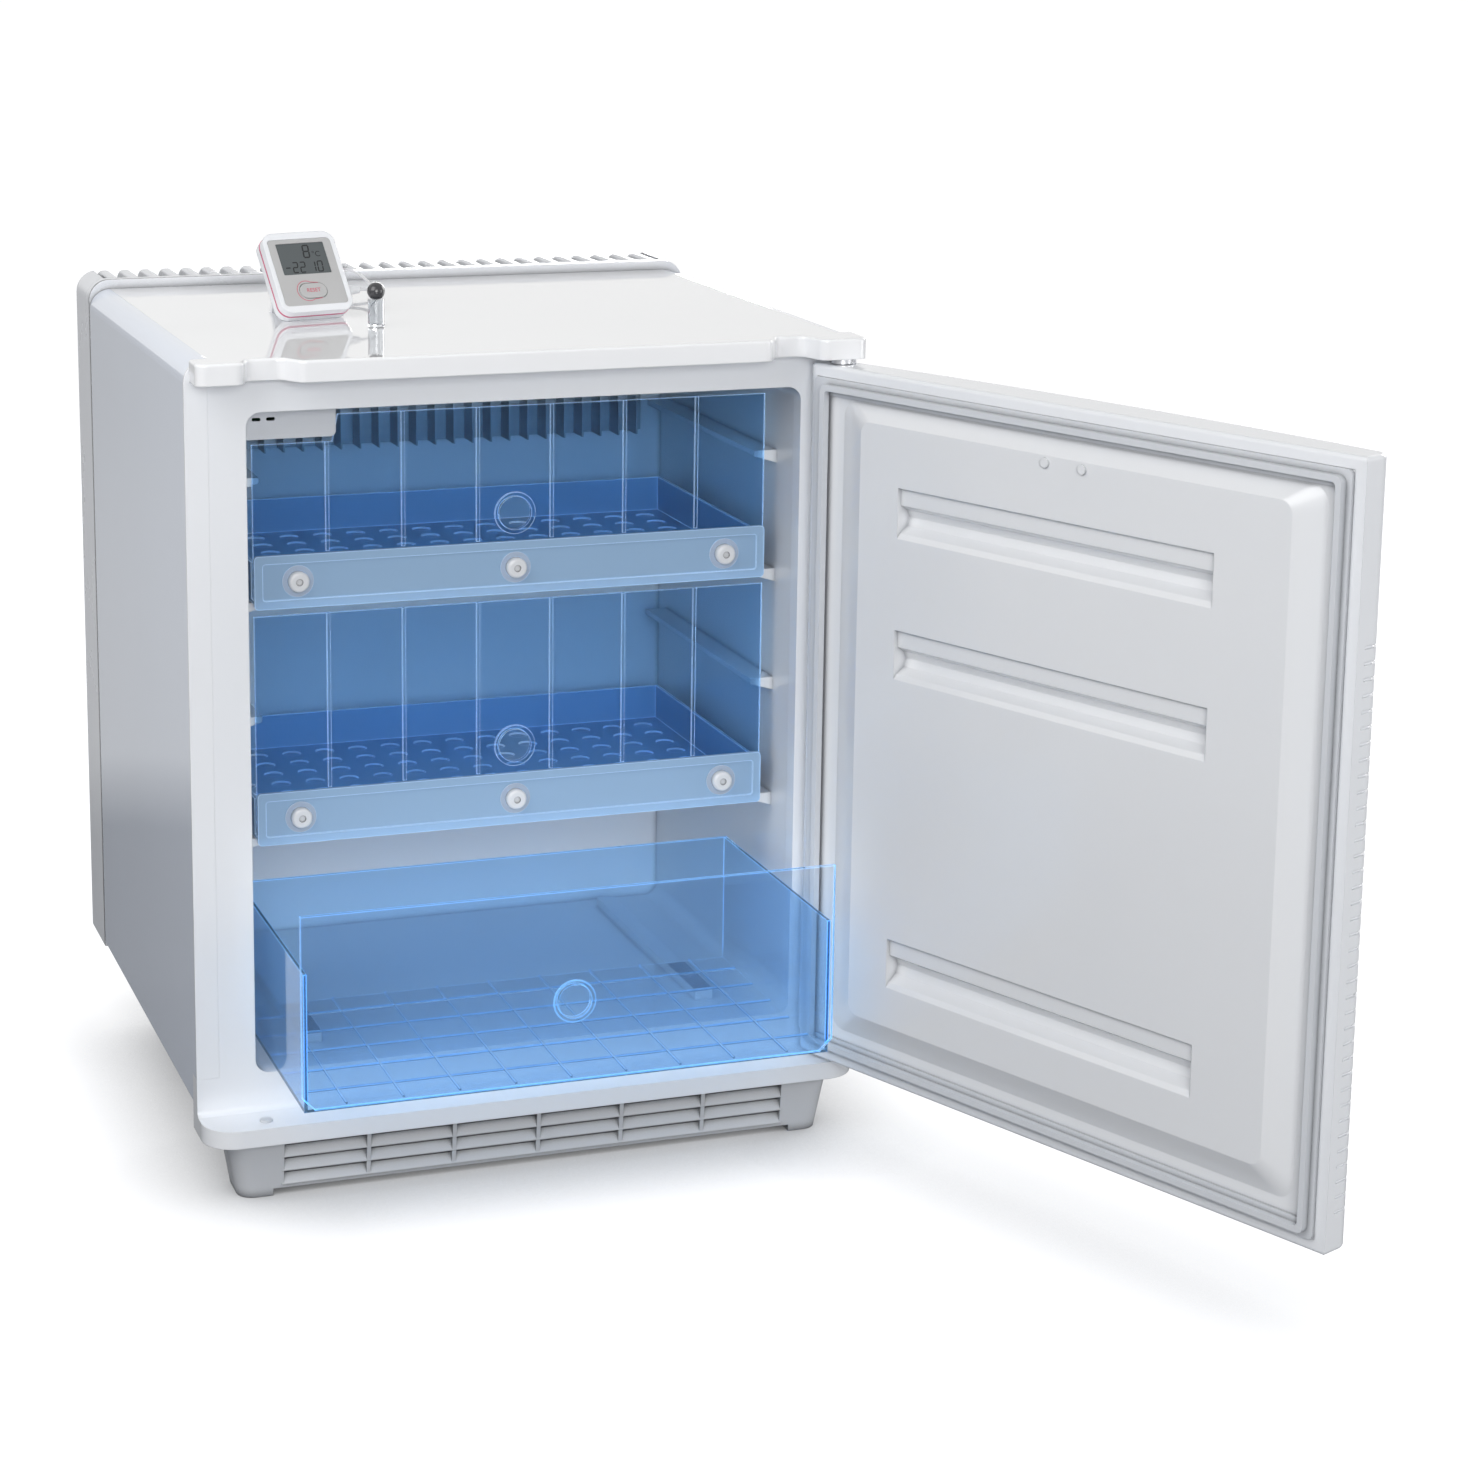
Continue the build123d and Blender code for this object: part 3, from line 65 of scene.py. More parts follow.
def selectEdges(piece, test):
    # In edit mode, select only the edges whose two ends both pass the test
    bpy.ops.object.mode_set(mode="OBJECT")
    points = piece.data.vertices
    for point in points:
        point.select = False
    for face in piece.data.polygons:
        face.select = False
    for edge in piece.data.edges:
        edge.select = all(test(points[index].co) for index in edge.vertices)
    bpy.ops.object.mode_set(mode="EDIT")
    bpy.ops.mesh.select_mode(type="EDGE")


def bandWithHeight(breadth, tall):
    # In edit mode on one flat face: keep a band along its outline and pull that up
    bpy.ops.mesh.select_all(action="SELECT")
    bpy.ops.mesh.inset(thickness=breadth)
    bpy.ops.mesh.delete(type="FACE")
    bpy.ops.mesh.select_all(action="SELECT")
    bpy.ops.mesh.extrude_region_move(TRANSFORM_OT_translate={"value": (0, 0, tall)})
    bpy.ops.mesh.select_all(action="SELECT")
    bpy.ops.mesh.normals_make_consistent(inside=False)
    bpy.ops.object.mode_set(mode="OBJECT")


def addWall(piece, thick, offset):
    # Give an open sheet its thickness
    wall = piece.modifiers.new("wall", "SOLIDIFY")
    wall.thickness = thick
    wall.offset = offset
    bpy.ops.object.modifier_apply(modifier=wall.name)


def copyOf(model):
    # A copy with its own mesh
    piece = model.copy()
    piece.data = model.data.copy()
    bpy.context.scene.collection.objects.link(piece)
    return piece


def joinAll(first, others):
    deselectAll()
    for piece in others:
        piece.select_set(True)
    first.select_set(True)
    bpy.context.view_layer.objects.active = first
    bpy.ops.object.join()


def finishPiece(piece, name, material, body, slotName, *nodes):
    # Fix the place in the mesh, then give name, finish and body
    deselectAll()
    piece.select_set(True)
    bpy.context.view_layer.objects.active = piece
    bpy.ops.object.transform_apply(location=True, rotation=True, scale=True)
    piece.name = name
    piece.data.materials.clear()
    piece.data.materials.append(material)
    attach(piece, body)
    if nodes:
        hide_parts(*nodes)


# Small helpers for materials
def newMaterial(name):
    material = bpy.data.materials.new(name)
    material.use_nodes = True
    tree = material.node_tree
    return material, tree.nodes, tree.links, tree.nodes["Principled BSDF"]


def mapValue(nodes, links, source, low, high, start=0.0, end=1.0):
    # A value between two levels, from a source that runs from start to end
    mapped = nodes.new("ShaderNodeMapRange")
    mapped.inputs["From Min"].default_value = start
    mapped.inputs["From Max"].default_value = end
    mapped.inputs["To Min"].default_value = low
    mapped.inputs["To Max"].default_value = high
    links.new(source, mapped.inputs["Value"])
    return mapped.outputs[0]


def calculate(nodes, links, operation, first, second):
    # One Math node; its inputs are sockets or plain numbers
    step = nodes.new("ShaderNodeMath")
    step.operation = operation
    for socket, value in zip(step.inputs, (first, second)):
        if isinstance(value, (int, float)):
            socket.default_value = value
        else:
            links.new(value, socket)
    return step.outputs[0]


def blendColours(nodes, links, mask, first, second):
    # The first colour where the mask is 0 and the second where it is 1; sockets or plain colours
    blend = nodes.new("ShaderNodeMix")
    blend.data_type = "RGBA"
    links.new(mask, blend.inputs["Factor"])
    for socketName, colour in (("A", first), ("B", second)):
        if isinstance(colour, tuple):
            blend.inputs[socketName].default_value = (*colour, 1)
        else:
            links.new(colour, blend.inputs[socketName])
    return blend.outputs["Result"]


def placeAlong(nodes, links, axis, kind="Object"):
    # One axis of a texture coordinate
    place = nodes.new("ShaderNodeTexCoord")
    parts = nodes.new("ShaderNodeSeparateXYZ")
    links.new(place.outputs[kind], parts.inputs[0])
    return parts.outputs[axis]


def occlusion(nodes, distance, samples):
    # 1 on open surfaces, less where others stand close
    hollow = nodes.new("ShaderNodeAmbientOcclusion")
    hollow.samples = samples
    hollow.inputs["Distance"].default_value = distance
    return hollow.outputs["AO"]


def seenBehind(nodes, links, path):
    # 1 for what the camera sees straight on or through clear plastic
    return calculate(
        nodes, links, "MAXIMUM", path.outputs["Is Camera Ray"], path.outputs["Is Transmission Ray"]
    )


# Camera: fitted to the cabinet's and the door's edges, with part of the tilt taken as lens shift
cameraSetup = {
    "place": (-0.656, -2.345, 0.925),
    "turn": 18.75,  # degrees to the right of straight ahead
    "tilt": 11.52,  # degrees down
    "roll": 0.44,
    "lens": 79.52,
    "sensor": 36,
    "shift": (0.08, -0.15),
    "clip": (0.05, 100),
}


def addCamera():
    deselectAll()
    bpy.ops.object.camera_add(location=cameraSetup["place"])
    camera = bpy.context.object
    camera.name = "photoCamera"
    aim = (
        Matrix.Rotation(-math.radians(cameraSetup["turn"]), 3, "Z")
        @ Matrix.Rotation(math.radians(90 - cameraSetup["tilt"]), 3, "X")
        @ Matrix.Rotation(math.radians(cameraSetup["roll"]), 3, "Z")
    )
    camera.rotation_euler = aim.to_euler()
    camera.data.sensor_fit = "HORIZONTAL"
    camera.data.sensor_width = cameraSetup["sensor"]
    camera.data.lens = cameraSetup["lens"]
    camera.data.shift_x, camera.data.shift_y = cameraSetup["shift"]
    camera.data.clip_start, camera.data.clip_end = cameraSetup["clip"]
    bpy.context.scene.camera = camera


addCamera()
bpy.context.scene.view_settings.view_transform = "Standard"

# Studio: soft boxes round the object, a white surround and a pale floor
studio = {
    "zenithLight": 0.30,  # what the surround gives to the object, from above and from the side
    "horizonLight": 0.20,
    "zenithGloss": 1.0,  # what gloss reflects of it
    "horizonGloss": 1.0,
    "floorSize": 60,
    "floorDrop": 0.0004,  # keeps the floor just under the feet
    "floorColour": (0.22, 0.23, 0.25),
    "floorRough": 0.9,
    "floorSpecular": 0.1,
    "floorGlow": 0.95,
    "floorShade": 0.10,  # how far the contact shadow reaches
    "floorSamples": 8,
    "floorGloss": (0.07, 0.42),  # what gloss reflects of the floor, near by and far off
    "floorEdge": (0.75, 1.0),  # metres from the middle over which it changes
    "boxes": {
        # name: (place, looks at, size, watts, colour)
        "keyBox": ((-1.27, -0.8, 1.6), (0.1, -0.15, 0.35), 1.4, 18.5, (1.0, 1.0, 1.0)),
        "frontBox": ((-0.42, -2.95, 1.05), (0, -0.2, 0.3), 1.3, 37, (1.0, 0.998, 0.99)),
        "edgeBox": ((2.3, -1.7, 0.65), (0.1, -0.3, 0.3), 1.0, 12, (1.0, 1.0, 1.0)),
        "sideBox": ((2.8, 1.0, 1.4), (0, 0, 0.3), 1.5, 28, (1.0, 1.0, 1.0)),
        "backBox": ((0.9, 2.6, 0.48), (0, 0.1, 0.3), 0.8, 26, (1.0, 1.0, 1.0)),
    },
}


def addSurround():
    world = bpy.data.worlds.new("whiteSurround")
    bpy.context.scene.world = world
    world.use_nodes = True
    nodes, links = world.node_tree.nodes, world.node_tree.links
    background = nodes["Background"]
    background.inputs["Color"].default_value = (1, 1, 1, 1)
    rise = placeAlong(nodes, links, "Z", "Generated")
    light = mapValue(nodes, links, rise, studio["horizonLight"], studio["zenithLight"])
    gloss = mapValue(nodes, links, rise, studio["horizonGloss"], studio["zenithGloss"])
    path = nodes.new("ShaderNodeLightPath")
    shiny = nodes.new("ShaderNodeMix")
    links.new(path.outputs["Is Glossy Ray"], shiny.inputs["Factor"])
    links.new(light, shiny.inputs["A"])
    links.new(gloss, shiny.inputs["B"])
    seen = seenBehind(nodes, links, path)
    strength = calculate(nodes, links, "MAXIMUM", seen, shiny.outputs["Result"])
    links.new(strength, background.inputs["Strength"])


def addSoftBoxes():
    for name, (place, target, size, watts, colour) in studio["boxes"].items():
        deselectAll()
        bpy.ops.object.light_add(type="AREA", location=place)
        box = bpy.context.object
        box.name = name
        box.data.shape = "SQUARE"
        box.data.size = size
        box.data.energy = watts
        box.data.color = colour
        box.rotation_euler = (Vector(target) - Vector(place)).to_track_quat("-Z", "Y").to_euler()


def addFloor():
    deselectAll()
    bpy.ops.mesh.primitive_plane_add(
        size=studio["floorSize"], location=(0, 0, -studio["floorDrop"])
    )
    floor = bpy.context.object
    floor.name = "studioFloor"
    bpy.ops.object.transform_apply(location=True)
    material, nodes, links, shader = newMaterial("paleFloor")
    shader.inputs["Base Color"].default_value = (*studio["floorColour"], 1)
    shader.inputs["Roughness"].default_value = studio["floorRough"]
    shader.inputs["Specular IOR Level"].default_value = studio["floorSpecular"]
    shader.inputs["Emission Color"].default_value = (1, 1, 1, 1)
    place = nodes.new("ShaderNodeTexCoord")
    reach = nodes.new("ShaderNodeVectorMath")
    reach.operation = "LENGTH"
    links.new(place.outputs["Object"], reach.inputs[0])
    gloss = mapValue(
        nodes, links, reach.outputs["Value"], *studio["floorGloss"], *studio["floorEdge"]
    )
    path = nodes.new("ShaderNodeLightPath")
    seen = seenBehind(nodes, links, path)
    contact = occlusion(nodes, studio["floorShade"], studio["floorSamples"])
    glow = calculate(nodes, links, "MULTIPLY", seen, studio["floorGlow"])
    glow = calculate(nodes, links, "MULTIPLY", glow, contact)
    shine = calculate(nodes, links, "MULTIPLY", path.outputs["Is Glossy Ray"], gloss)
    links.new(calculate(nodes, links, "MAXIMUM", glow, shine), shader.inputs["Emission Strength"])
    floor.data.materials.append(material)


addSurround()
addSoftBoxes()
addFloor()
print("camera and studio ready")


# Shared effect: the faint orange peel and clouding that every moulded or painted skin has
skinSetup = {"grainDetail": 3, "cloudDetail": 5, "cloudRough": 0.6}


def makeSkinGroup():
    group = bpy.data.node_groups.new("mouldedSkin", "ShaderNodeTree")
    face = group.interface
    face.new_socket(name="Grain Size", in_out="INPUT", socket_type="NodeSocketFloat")
    face.new_socket(name="Cloud Size", in_out="INPUT", socket_type="NodeSocketFloat")
    face.new_socket(name="Stretch", in_out="INPUT", socket_type="NodeSocketVector")
    face.new_socket(name="Height", in_out="OUTPUT", socket_type="NodeSocketFloat")
    face.new_socket(name="Cloud", in_out="OUTPUT", socket_type="NodeSocketFloat")
    nodes, links = group.nodes, group.links
    inside = nodes.new("NodeGroupInput")
    outside = nodes.new("NodeGroupOutput")
    place = nodes.new("ShaderNodeTexCoord")
    stretch = nodes.new("ShaderNodeVectorMath")
    stretch.operation = "MULTIPLY"
    links.new(place.outputs["Object"], stretch.inputs[0])
    links.new(inside.outputs["Stretch"], stretch.inputs[1])
    grain = nodes.new("ShaderNodeTexNoise")
    grain.inputs["Detail"].default_value = skinSetup["grainDetail"]
    links.new(stretch.outputs[0], grain.inputs["Vector"])
    links.new(inside.outputs["Grain Size"], grain.inputs["Scale"])
    cloud = nodes.new("ShaderNodeTexNoise")
    cloud.inputs["Detail"].default_value = skinSetup["cloudDetail"]
    cloud.inputs["Roughness"].default_value = skinSetup["cloudRough"]
    links.new(stretch.outputs[0], cloud.inputs["Vector"])
    links.new(inside.outputs["Cloud Size"], cloud.inputs["Scale"])
    links.new(grain.outputs["Fac"], outside.inputs["Height"])
    links.new(cloud.outputs["Fac"], outside.inputs["Cloud"])
    return group


# Shared effect: 1 along every corner and rim of a clear moulding, the mask for a painted glow that
# stands in for the light coming out of it
rimSetup = {
    "samples": 6,
    "sharp": 0.80,  # likeness of the rounded and the flat normal where the glow is full
    "flat": 0.995,  # and where it ends
}


def makeRimGroup():
    group = bpy.data.node_groups.new("glowingRim", "ShaderNodeTree")
    group.interface.new_socket(name="Width", in_out="INPUT", socket_type="NodeSocketFloat")
    group.interface.new_socket(name="Rim", in_out="OUTPUT", socket_type="NodeSocketFloat")
    nodes, links = group.nodes, group.links
    inside = nodes.new("NodeGroupInput")
    outside = nodes.new("NodeGroupOutput")
    rounded = nodes.new("ShaderNodeBevel")
    rounded.samples = rimSetup["samples"]
    links.new(inside.outputs["Width"], rounded.inputs["Radius"])
    surface = nodes.new("ShaderNodeNewGeometry")
    likeness = nodes.new("ShaderNodeVectorMath")
    likeness.operation = "DOT_PRODUCT"
    links.new(rounded.outputs["Normal"], likeness.inputs[0])
    links.new(surface.outputs["True Normal"], likeness.inputs[1])
    level = mapValue(
        nodes, links, likeness.outputs["Value"], 1.0, 0.0, rimSetup["sharp"], rimSetup["flat"]
    )
    links.new(level, outside.inputs["Rim"])
    return group


skinGroup = makeSkinGroup()
rimGroup = makeRimGroup()

# Finishes by the record's slot: colour, darker tone that the clouding mixes in, gloss and grain
finishes = {
    "white_sheet": {
        # a bluish white, made darker and bluer than the paint to stand in for the shade and cool
        # reflection on the sheets' sides: partly painted shade
        "colour": (0.74, 0.80, 0.92), "tone": (0.715, 0.78, 0.905), "rough": 0.07, "coat": 0.6,
        "grain": 260, "depth": 0.03, "edge": 0.0006, "wave": 0.0014,
        "front": (-0.2242, -0.2215, (0.84, 0.855, 0.885)),
    },
    "white_plastic": {
        "colour": (0.84, 0.855, 0.885), "tone": (0.81, 0.83, 0.865), "rough": 0.15, "coat": 0.4,
        "grain": 500, "depth": 0.04, "edge": 0.0010,
    },
    "top_gloss": {  # the cover's polished top, which mirrors the thermometer
        "colour": (0.90, 0.905, 0.92), "tone": (0.88, 0.89, 0.91), "rough": 0.035, "coat": 0.6,
        "grain": 260, "depth": 0.015, "edge": 0.0012, "wave": 0.0004,
    },
    "plinth_plastic": {
        "colour": (0.62, 0.635, 0.665), "tone": (0.57, 0.59, 0.62), "rough": 0.22, "coat": 0.3,
        "grain": 380, "depth": 0.06, "edge": 0.0010, "crevice": 0.011,
    },
    "cover_plastic": {
        "colour": (0.82, 0.835, 0.87), "tone": (0.79, 0.81, 0.85), "rough": 0.26, "coat": 0.1,
        "grain": 500, "depth": 0.04, "edge": 0.0008, "crevice": 0.013,
        # where along the depth the painted shade band behind the rear seam lies
        "seam": (0.1452, 0.1478, 0.1490),
    },
    "knob_plastic": {
        "colour": (0.74, 0.75, 0.77), "tone": (0.70, 0.715, 0.74), "rough": 0.25, "coat": 0.3,
        "grain": 900, "depth": 0.05, "edge": 0.0004, "crevice": 0.0045,
    },
    "grey_plastic": {
        "colour": (0.60, 0.62, 0.65), "tone": (0.54, 0.56, 0.6), "rough": 0.4, "coat": 0.0,
        "grain": 900, "depth": 0.12, "edge": 0.0005,
    },
    "liner_plastic": {
        "colour": (0.79, 0.80, 0.82), "tone": (0.755, 0.77, 0.795), "rough": 0.2, "coat": 0.3,
        # the liner's slots get a lighter painted shade than the other finishes
        "grain": 380, "depth": 0.05, "edge": 0.0012, "crevice": 0.007, "paintedSlotShade": (0.34, 0.35, 0.38),
    },
    "gasket_vinyl": {
        "colour": (0.68, 0.70, 0.73), "tone": (0.60, 0.62, 0.66), "rough": 0.5, "coat": 0.0,
        "grain": 700, "depth": 0.1, "edge": 0.0008, "crevice": 0.006,
    },
    "foam": {
        "colour": (0.80, 0.66, 0.36), "tone": (0.66, 0.52, 0.25), "rough": 0.95, "coat": 0.0,
        "grain": 420, "depth": 0.6, "edge": 0,
    },
    "zinc_steel": {
        "colour": (0.62, 0.63, 0.65), "tone": (0.50, 0.51, 0.53), "rough": 0.34, "coat": 0.0,
        "grain": 160, "depth": 0.12, "edge": 0.0003, "metal": 1.0, "stretch": (14, 1, 1),
    },
    "black_tube": {
        "colour": (0.025, 0.025, 0.028), "tone": (0.045, 0.042, 0.04), "rough": 0.38, "coat": 0.1,
        "grain": 600, "depth": 0.15, "edge": 0.0003,
    },
    "aluminium": {
        "colour": (0.40, 0.42, 0.45), "tone": (0.30, 0.32, 0.35), "rough": 0.42, "coat": 0.0,
        "grain": 300, "depth": 0.1, "edge": 0.0002, "metal": 1.0, "stretch": (1, 1, 9),
    },
    "board_green": {
        "colour": (0.02, 0.16, 0.07), "tone": (0.03, 0.24, 0.1), "rough": 0.35, "coat": 0.3,
        "grain": 500, "depth": 0.1, "edge": 0,
    },
    "seam_pink": {
        "colour": (0.60, 0.12, 0.23), "tone": (0.54, 0.10, 0.20), "rough": 0.3, "coat": 0.2,
        "grain": 900, "depth": 0.04, "edge": 0.0002,
    },
    "meter_grey": {
        "colour": (0.50, 0.50, 0.50), "tone": (0.46, 0.46, 0.465), "rough": 0.42, "coat": 0.0,
        "grain": 2600, "depth": 0.12, "edge": 0.0003,
    },
    "display": {
        "colour": (0.085, 0.10, 0.105), "tone": (0.08, 0.09, 0.095), "rough": 0.5, "coat": 0.0,
        "grain": 300, "depth": 0.01, "edge": 0.0002,
    },
    "black_rubber": {
        "colour": (0.015, 0.016, 0.02), "tone": (0.03, 0.03, 0.035), "rough": 0.22, "coat": 0.4,
        "grain": 900, "depth": 0.05, "edge": 0.0004,
    },
    "lead_white": {
        "colour": (0.80, 0.81, 0.83), "tone": (0.74, 0.75, 0.78), "rough": 0.35, "coat": 0.1,
        "grain": 900, "depth": 0.06, "edge": 0.0005,
    },
}

# What all opaque finishes share
finishSetup = {
    "cloudSize": 9,
    "glossSpread": (0.85, 1.2),  # the clouding varies the roughness between these shares of it
    "coatShare": 0.4,  # the coat's roughness as a share of the skin's
    "bumpHeight": 0.0004,
    "edgeSamples": 4,
    "creviceSamples": 6,
    "creviceRange": (0.30, 0.75),  # openness of a slot where it is darkest and where the shade ends
    # colour of the painted shade in the deepest slots
    "creviceColour": (0.05, 0.052, 0.058),
    # colour of the painted shade band behind the rear seam
    "seamColour": (0.09, 0.095, 0.105),
    "seamStart": 0.0001,  # how fast the seam's shade sets in, in metres
    "waveScale": 3.5,
}


def addShades(nodes, links, tone, values):
    # Changes of the base colour by place: painted shade in deep slots, the sheets' front returns
    # lighter than their sides as painted light, painted shade behind the rear seam
    if "crevice" in values:  # painted shade: the base colour darkens where other surfaces stand close, from occlusion
        openness = occlusion(nodes, values["crevice"], finishSetup["creviceSamples"])
        mask = mapValue(nodes, links, openness, 0.0, 1.0, *finishSetup["creviceRange"])
        paintedSlotShade = values.get("paintedSlotShade", finishSetup["creviceColour"])
        tone = blendColours(nodes, links, mask, paintedSlotShade, tone)
    if "front" in values:  # painted light: the sheets' front returns, which face the light, get the frame's lighter tone, while the sides keep a colour darkened for their shade
        start, end, frontTone = values["front"]
        mask = mapValue(nodes, links, placeAlong(nodes, links, "Y"), 1.0, 0.0, start, end)
        tone = blendColours(nodes, links, mask, tone, frontTone)
    if "seam" in values:  # painted shade: a dark band on the cover just behind the seam, by its place along the depth, standing in for the shadow in the gap
        start, middle, end = values["seam"]
        depth = placeAlong(nodes, links, "Y")
        before = mapValue(nodes, links, depth, 1.0, 0.0, start - finishSetup["seamStart"], start)
        after = mapValue(nodes, links, depth, 0.0, 1.0, middle, end)
        mask = calculate(nodes, links, "MAXIMUM", before, after)
        tone = blendColours(nodes, links, mask, finishSetup["seamColour"], tone)
    return tone


def addWave(nodes, links, facing, height):
    # A large sheet is never quite flat
    place = nodes.new("ShaderNodeTexCoord")
    ripple = nodes.new("ShaderNodeTexNoise")
    ripple.inputs["Scale"].default_value = finishSetup["waveScale"]
    ripple.inputs["Detail"].default_value = 1
    links.new(place.outputs["Object"], ripple.inputs["Vector"])
    wave = nodes.new("ShaderNodeBump")
    wave.inputs["Distance"].default_value = height
    links.new(ripple.outputs["Fac"], wave.inputs["Height"])
    links.new(facing, wave.inputs["Normal"])
    return wave.outputs["Normal"]


def makeFinish(slotName, values):
    material, nodes, links, shader = newMaterial(slotName)
    skin = nodes.new("ShaderNodeGroup")
    skin.node_tree = skinGroup
    skin.inputs["Grain Size"].default_value = values["grain"]
    skin.inputs["Cloud Size"].default_value = finishSetup["cloudSize"]
    skin.inputs["Stretch"].default_value = values.get("stretch", (1, 1, 1))
    if "tone" in values:
        tone = blendColours(nodes, links, skin.outputs["Cloud"], values["colour"], values["tone"])
        tone = addShades(nodes, links, tone, values)
        links.new(tone, shader.inputs["Base Color"])
    else:
        shader.inputs["Base Color"].default_value = (*values["colour"], 1)
    low, high = (values["rough"] * share for share in finishSetup["glossSpread"])
    links.new(mapValue(nodes, links, skin.outputs["Cloud"], low, high), shader.inputs["Roughness"])
    shader.inputs["Metallic"].default_value = values.get("metal", 0)
    shader.inputs["Coat Weight"].default_value = values["coat"]
    shader.inputs["Coat Roughness"].default_value = values["rough"] * finishSetup["coatShare"]
    bump = nodes.new("ShaderNodeBump")
    bump.inputs["Strength"].default_value = values["depth"]
    bump.inputs["Distance"].default_value = finishSetup["bumpHeight"]
    links.new(skin.outputs["Height"], bump.inputs["Height"])
    if values["edge"]:
        softEdge = nodes.new("ShaderNodeBevel")
        softEdge.samples = finishSetup["edgeSamples"]
        softEdge.inputs["Radius"].default_value = values["edge"]
        links.new(softEdge.outputs["Normal"], bump.inputs["Normal"])
    facing = bump.outputs["Normal"]
    if "wave" in values:
        facing = addWave(nodes, links, facing, values["wave"])
    links.new(facing, shader.inputs["Normal"])
    return material


# See-through plastics: tint, share of clear plastic, index, how far they block light, colour of the
# painted rim glow
clearFinishes = {
    "tray_blue": {
        "colour": (0.44, 0.66, 0.93), "clear": 0.35, "rough": 0.18, "index": 1.40, "shade": 0.8,
        "rim": (0.24, 0.33, 0.44), "rimWidth": 0.0012,
    },
    "clear_plastic": {
        "colour": (0.46, 0.70, 0.96), "clear": 1.0, "rough": 0.03, "index": 1.20, "shade": 0.75,
        "rim": (0.42, 0.56, 0.74), "rimWidth": 0.0009,
    },
    "washer_clear": {
        "colour": (0.80, 0.88, 0.96), "clear": 0.6, "rough": 0.08, "index": 1.30, "shade": 0.3,
        "rim": (0.30, 0.38, 0.48), "rimWidth": 0.0004,
    },
    "clear_blue": {
        "colour": (0.80, 0.87, 0.95), "clear": 1.0, "rough": 0.02, "index": 1.20, "shade": 0.03,
        "rim": (0.12, 0.32, 0.62), "rimWidth": 0.0020,
    },
    "tub_blue": {  # the tub is tinted deeper than its front sheet, and its floor ribs get less of the painted glow
        "colour": (0.47, 0.70, 0.95), "clear": 0.94, "rough": 0.04, "index": 1.25, "shade": 0.05,
        "rim": (0.12, 0.31, 0.60), "rimWidth": 0.0018, "rimFoot": (0.096, 0.104),
    },
    "vial_clear": {
        "colour": (0.74, 0.76, 0.78), "clear": 1.0, "rough": 0.03, "index": 1.40, "shade": 0.3,
        "rim": (0.1, 0.1, 0.1), "rimWidth": 0.0005,
    },
}

# What all see-through finishes share
clearSetup = {
    "grainSize": 90,
    "cloudSize": 12,
    "bump": 0.03,
    "bumpHeight": 0.0005,
    "footGlow": 0.25,  # share of the painted rim glow that is left below rimFoot
}


def makeClearFinish(slotName, values):
    material, nodes, links, shader = newMaterial(slotName)
    skin = nodes.new("ShaderNodeGroup")
    skin.node_tree = skinGroup
    skin.inputs["Grain Size"].default_value = clearSetup["grainSize"]
    skin.inputs["Cloud Size"].default_value = clearSetup["cloudSize"]
    skin.inputs["Stretch"].default_value = (1, 1, 1)
    shader.inputs["Base Color"].default_value = (*values["colour"], 1)
    shader.inputs["Roughness"].default_value = values["rough"]
    shader.inputs["IOR"].default_value = values["index"]
    shader.inputs["Transmission Weight"].default_value = values["clear"]
    bump = nodes.new("ShaderNodeBump")
    bump.inputs["Strength"].default_value = clearSetup["bump"]
    bump.inputs["Distance"].default_value = clearSetup["bumpHeight"]
    links.new(skin.outputs["Height"], bump.inputs["Height"])
    links.new(bump.outputs["Normal"], shader.inputs["Normal"])
    rim = nodes.new("ShaderNodeGroup")
    rim.node_tree = rimGroup
    rim.inputs["Width"].default_value = values["rimWidth"]
    glow = rim.outputs["Rim"]
    if "rimFoot" in values:
        level = placeAlong(nodes, links, "Z")
        above = mapValue(nodes, links, level, clearSetup["footGlow"], 1.0, *values["rimFoot"])
        glow = calculate(nodes, links, "MULTIPLY", glow, above)
    # painted glow: the rims emit a light of their own, in the rim colour
    rimColour = blendColours(nodes, links, glow, (0, 0, 0), values["rim"])
    links.new(rimColour, shader.inputs["Emission Color"])
    shader.inputs["Emission Strength"].default_value = 1.0
    # Light reaches what lies behind the plastic
    path = nodes.new("ShaderNodeLightPath")
    block = mapValue(nodes, links, path.outputs["Is Shadow Ray"], 1.0, values["shade"])
    links.new(block, shader.inputs["Alpha"])
    return material


materials = {name: makeFinish(name, values) for name, values in finishes.items()}
for name, values in clearFinishes.items():
    materials[name] = makeClearFinish(name, values)

# Nodes whose finish differs from the rest of their slot
ownFinish = {
    "top_cover": "top_gloss",
    "front_plinth": "plinth_plastic",
    "rear_cover": "cover_plastic",
    "drawer_tub": "tub_blue",
    "upper_tray_knobs": "knob_plastic",
    "middle_tray_knobs": "knob_plastic",
}

for part in frame["record"]["subparts"]:
    node = frame["nodes"][part["node"]]
    node.data.materials.clear()
    finishName = ownFinish.get(part["node"], part["material_slot"])
    node.data.materials.append(materials[finishName])
print("finishes on the CAD nodes:", len(materials))

# Sensor lead: from the thermometer's plug round behind the case to the black cap on the vial
sensorLeadSetup = {
    "radius": 0.001,
    "length": 0.198,
    "sideSteps": 4,
    "lengthSteps": 16,
    "route": [
        (-0.07735, -0.04760, 0.61047),
        (-0.06181, -0.04379, 0.61047),
        (-0.0560, -0.0230, 0.6000),
        (-0.0610, -0.0030, 0.5932),
        (-0.0860, -0.0010, 0.5932),
        (-0.0980, -0.0130, 0.6080),
        (-0.0870, -0.0270, 0.6250),
        (-0.0800, -0.0640, 0.6250),
        (-0.0805, -0.1000, 0.6196),
    ],
}


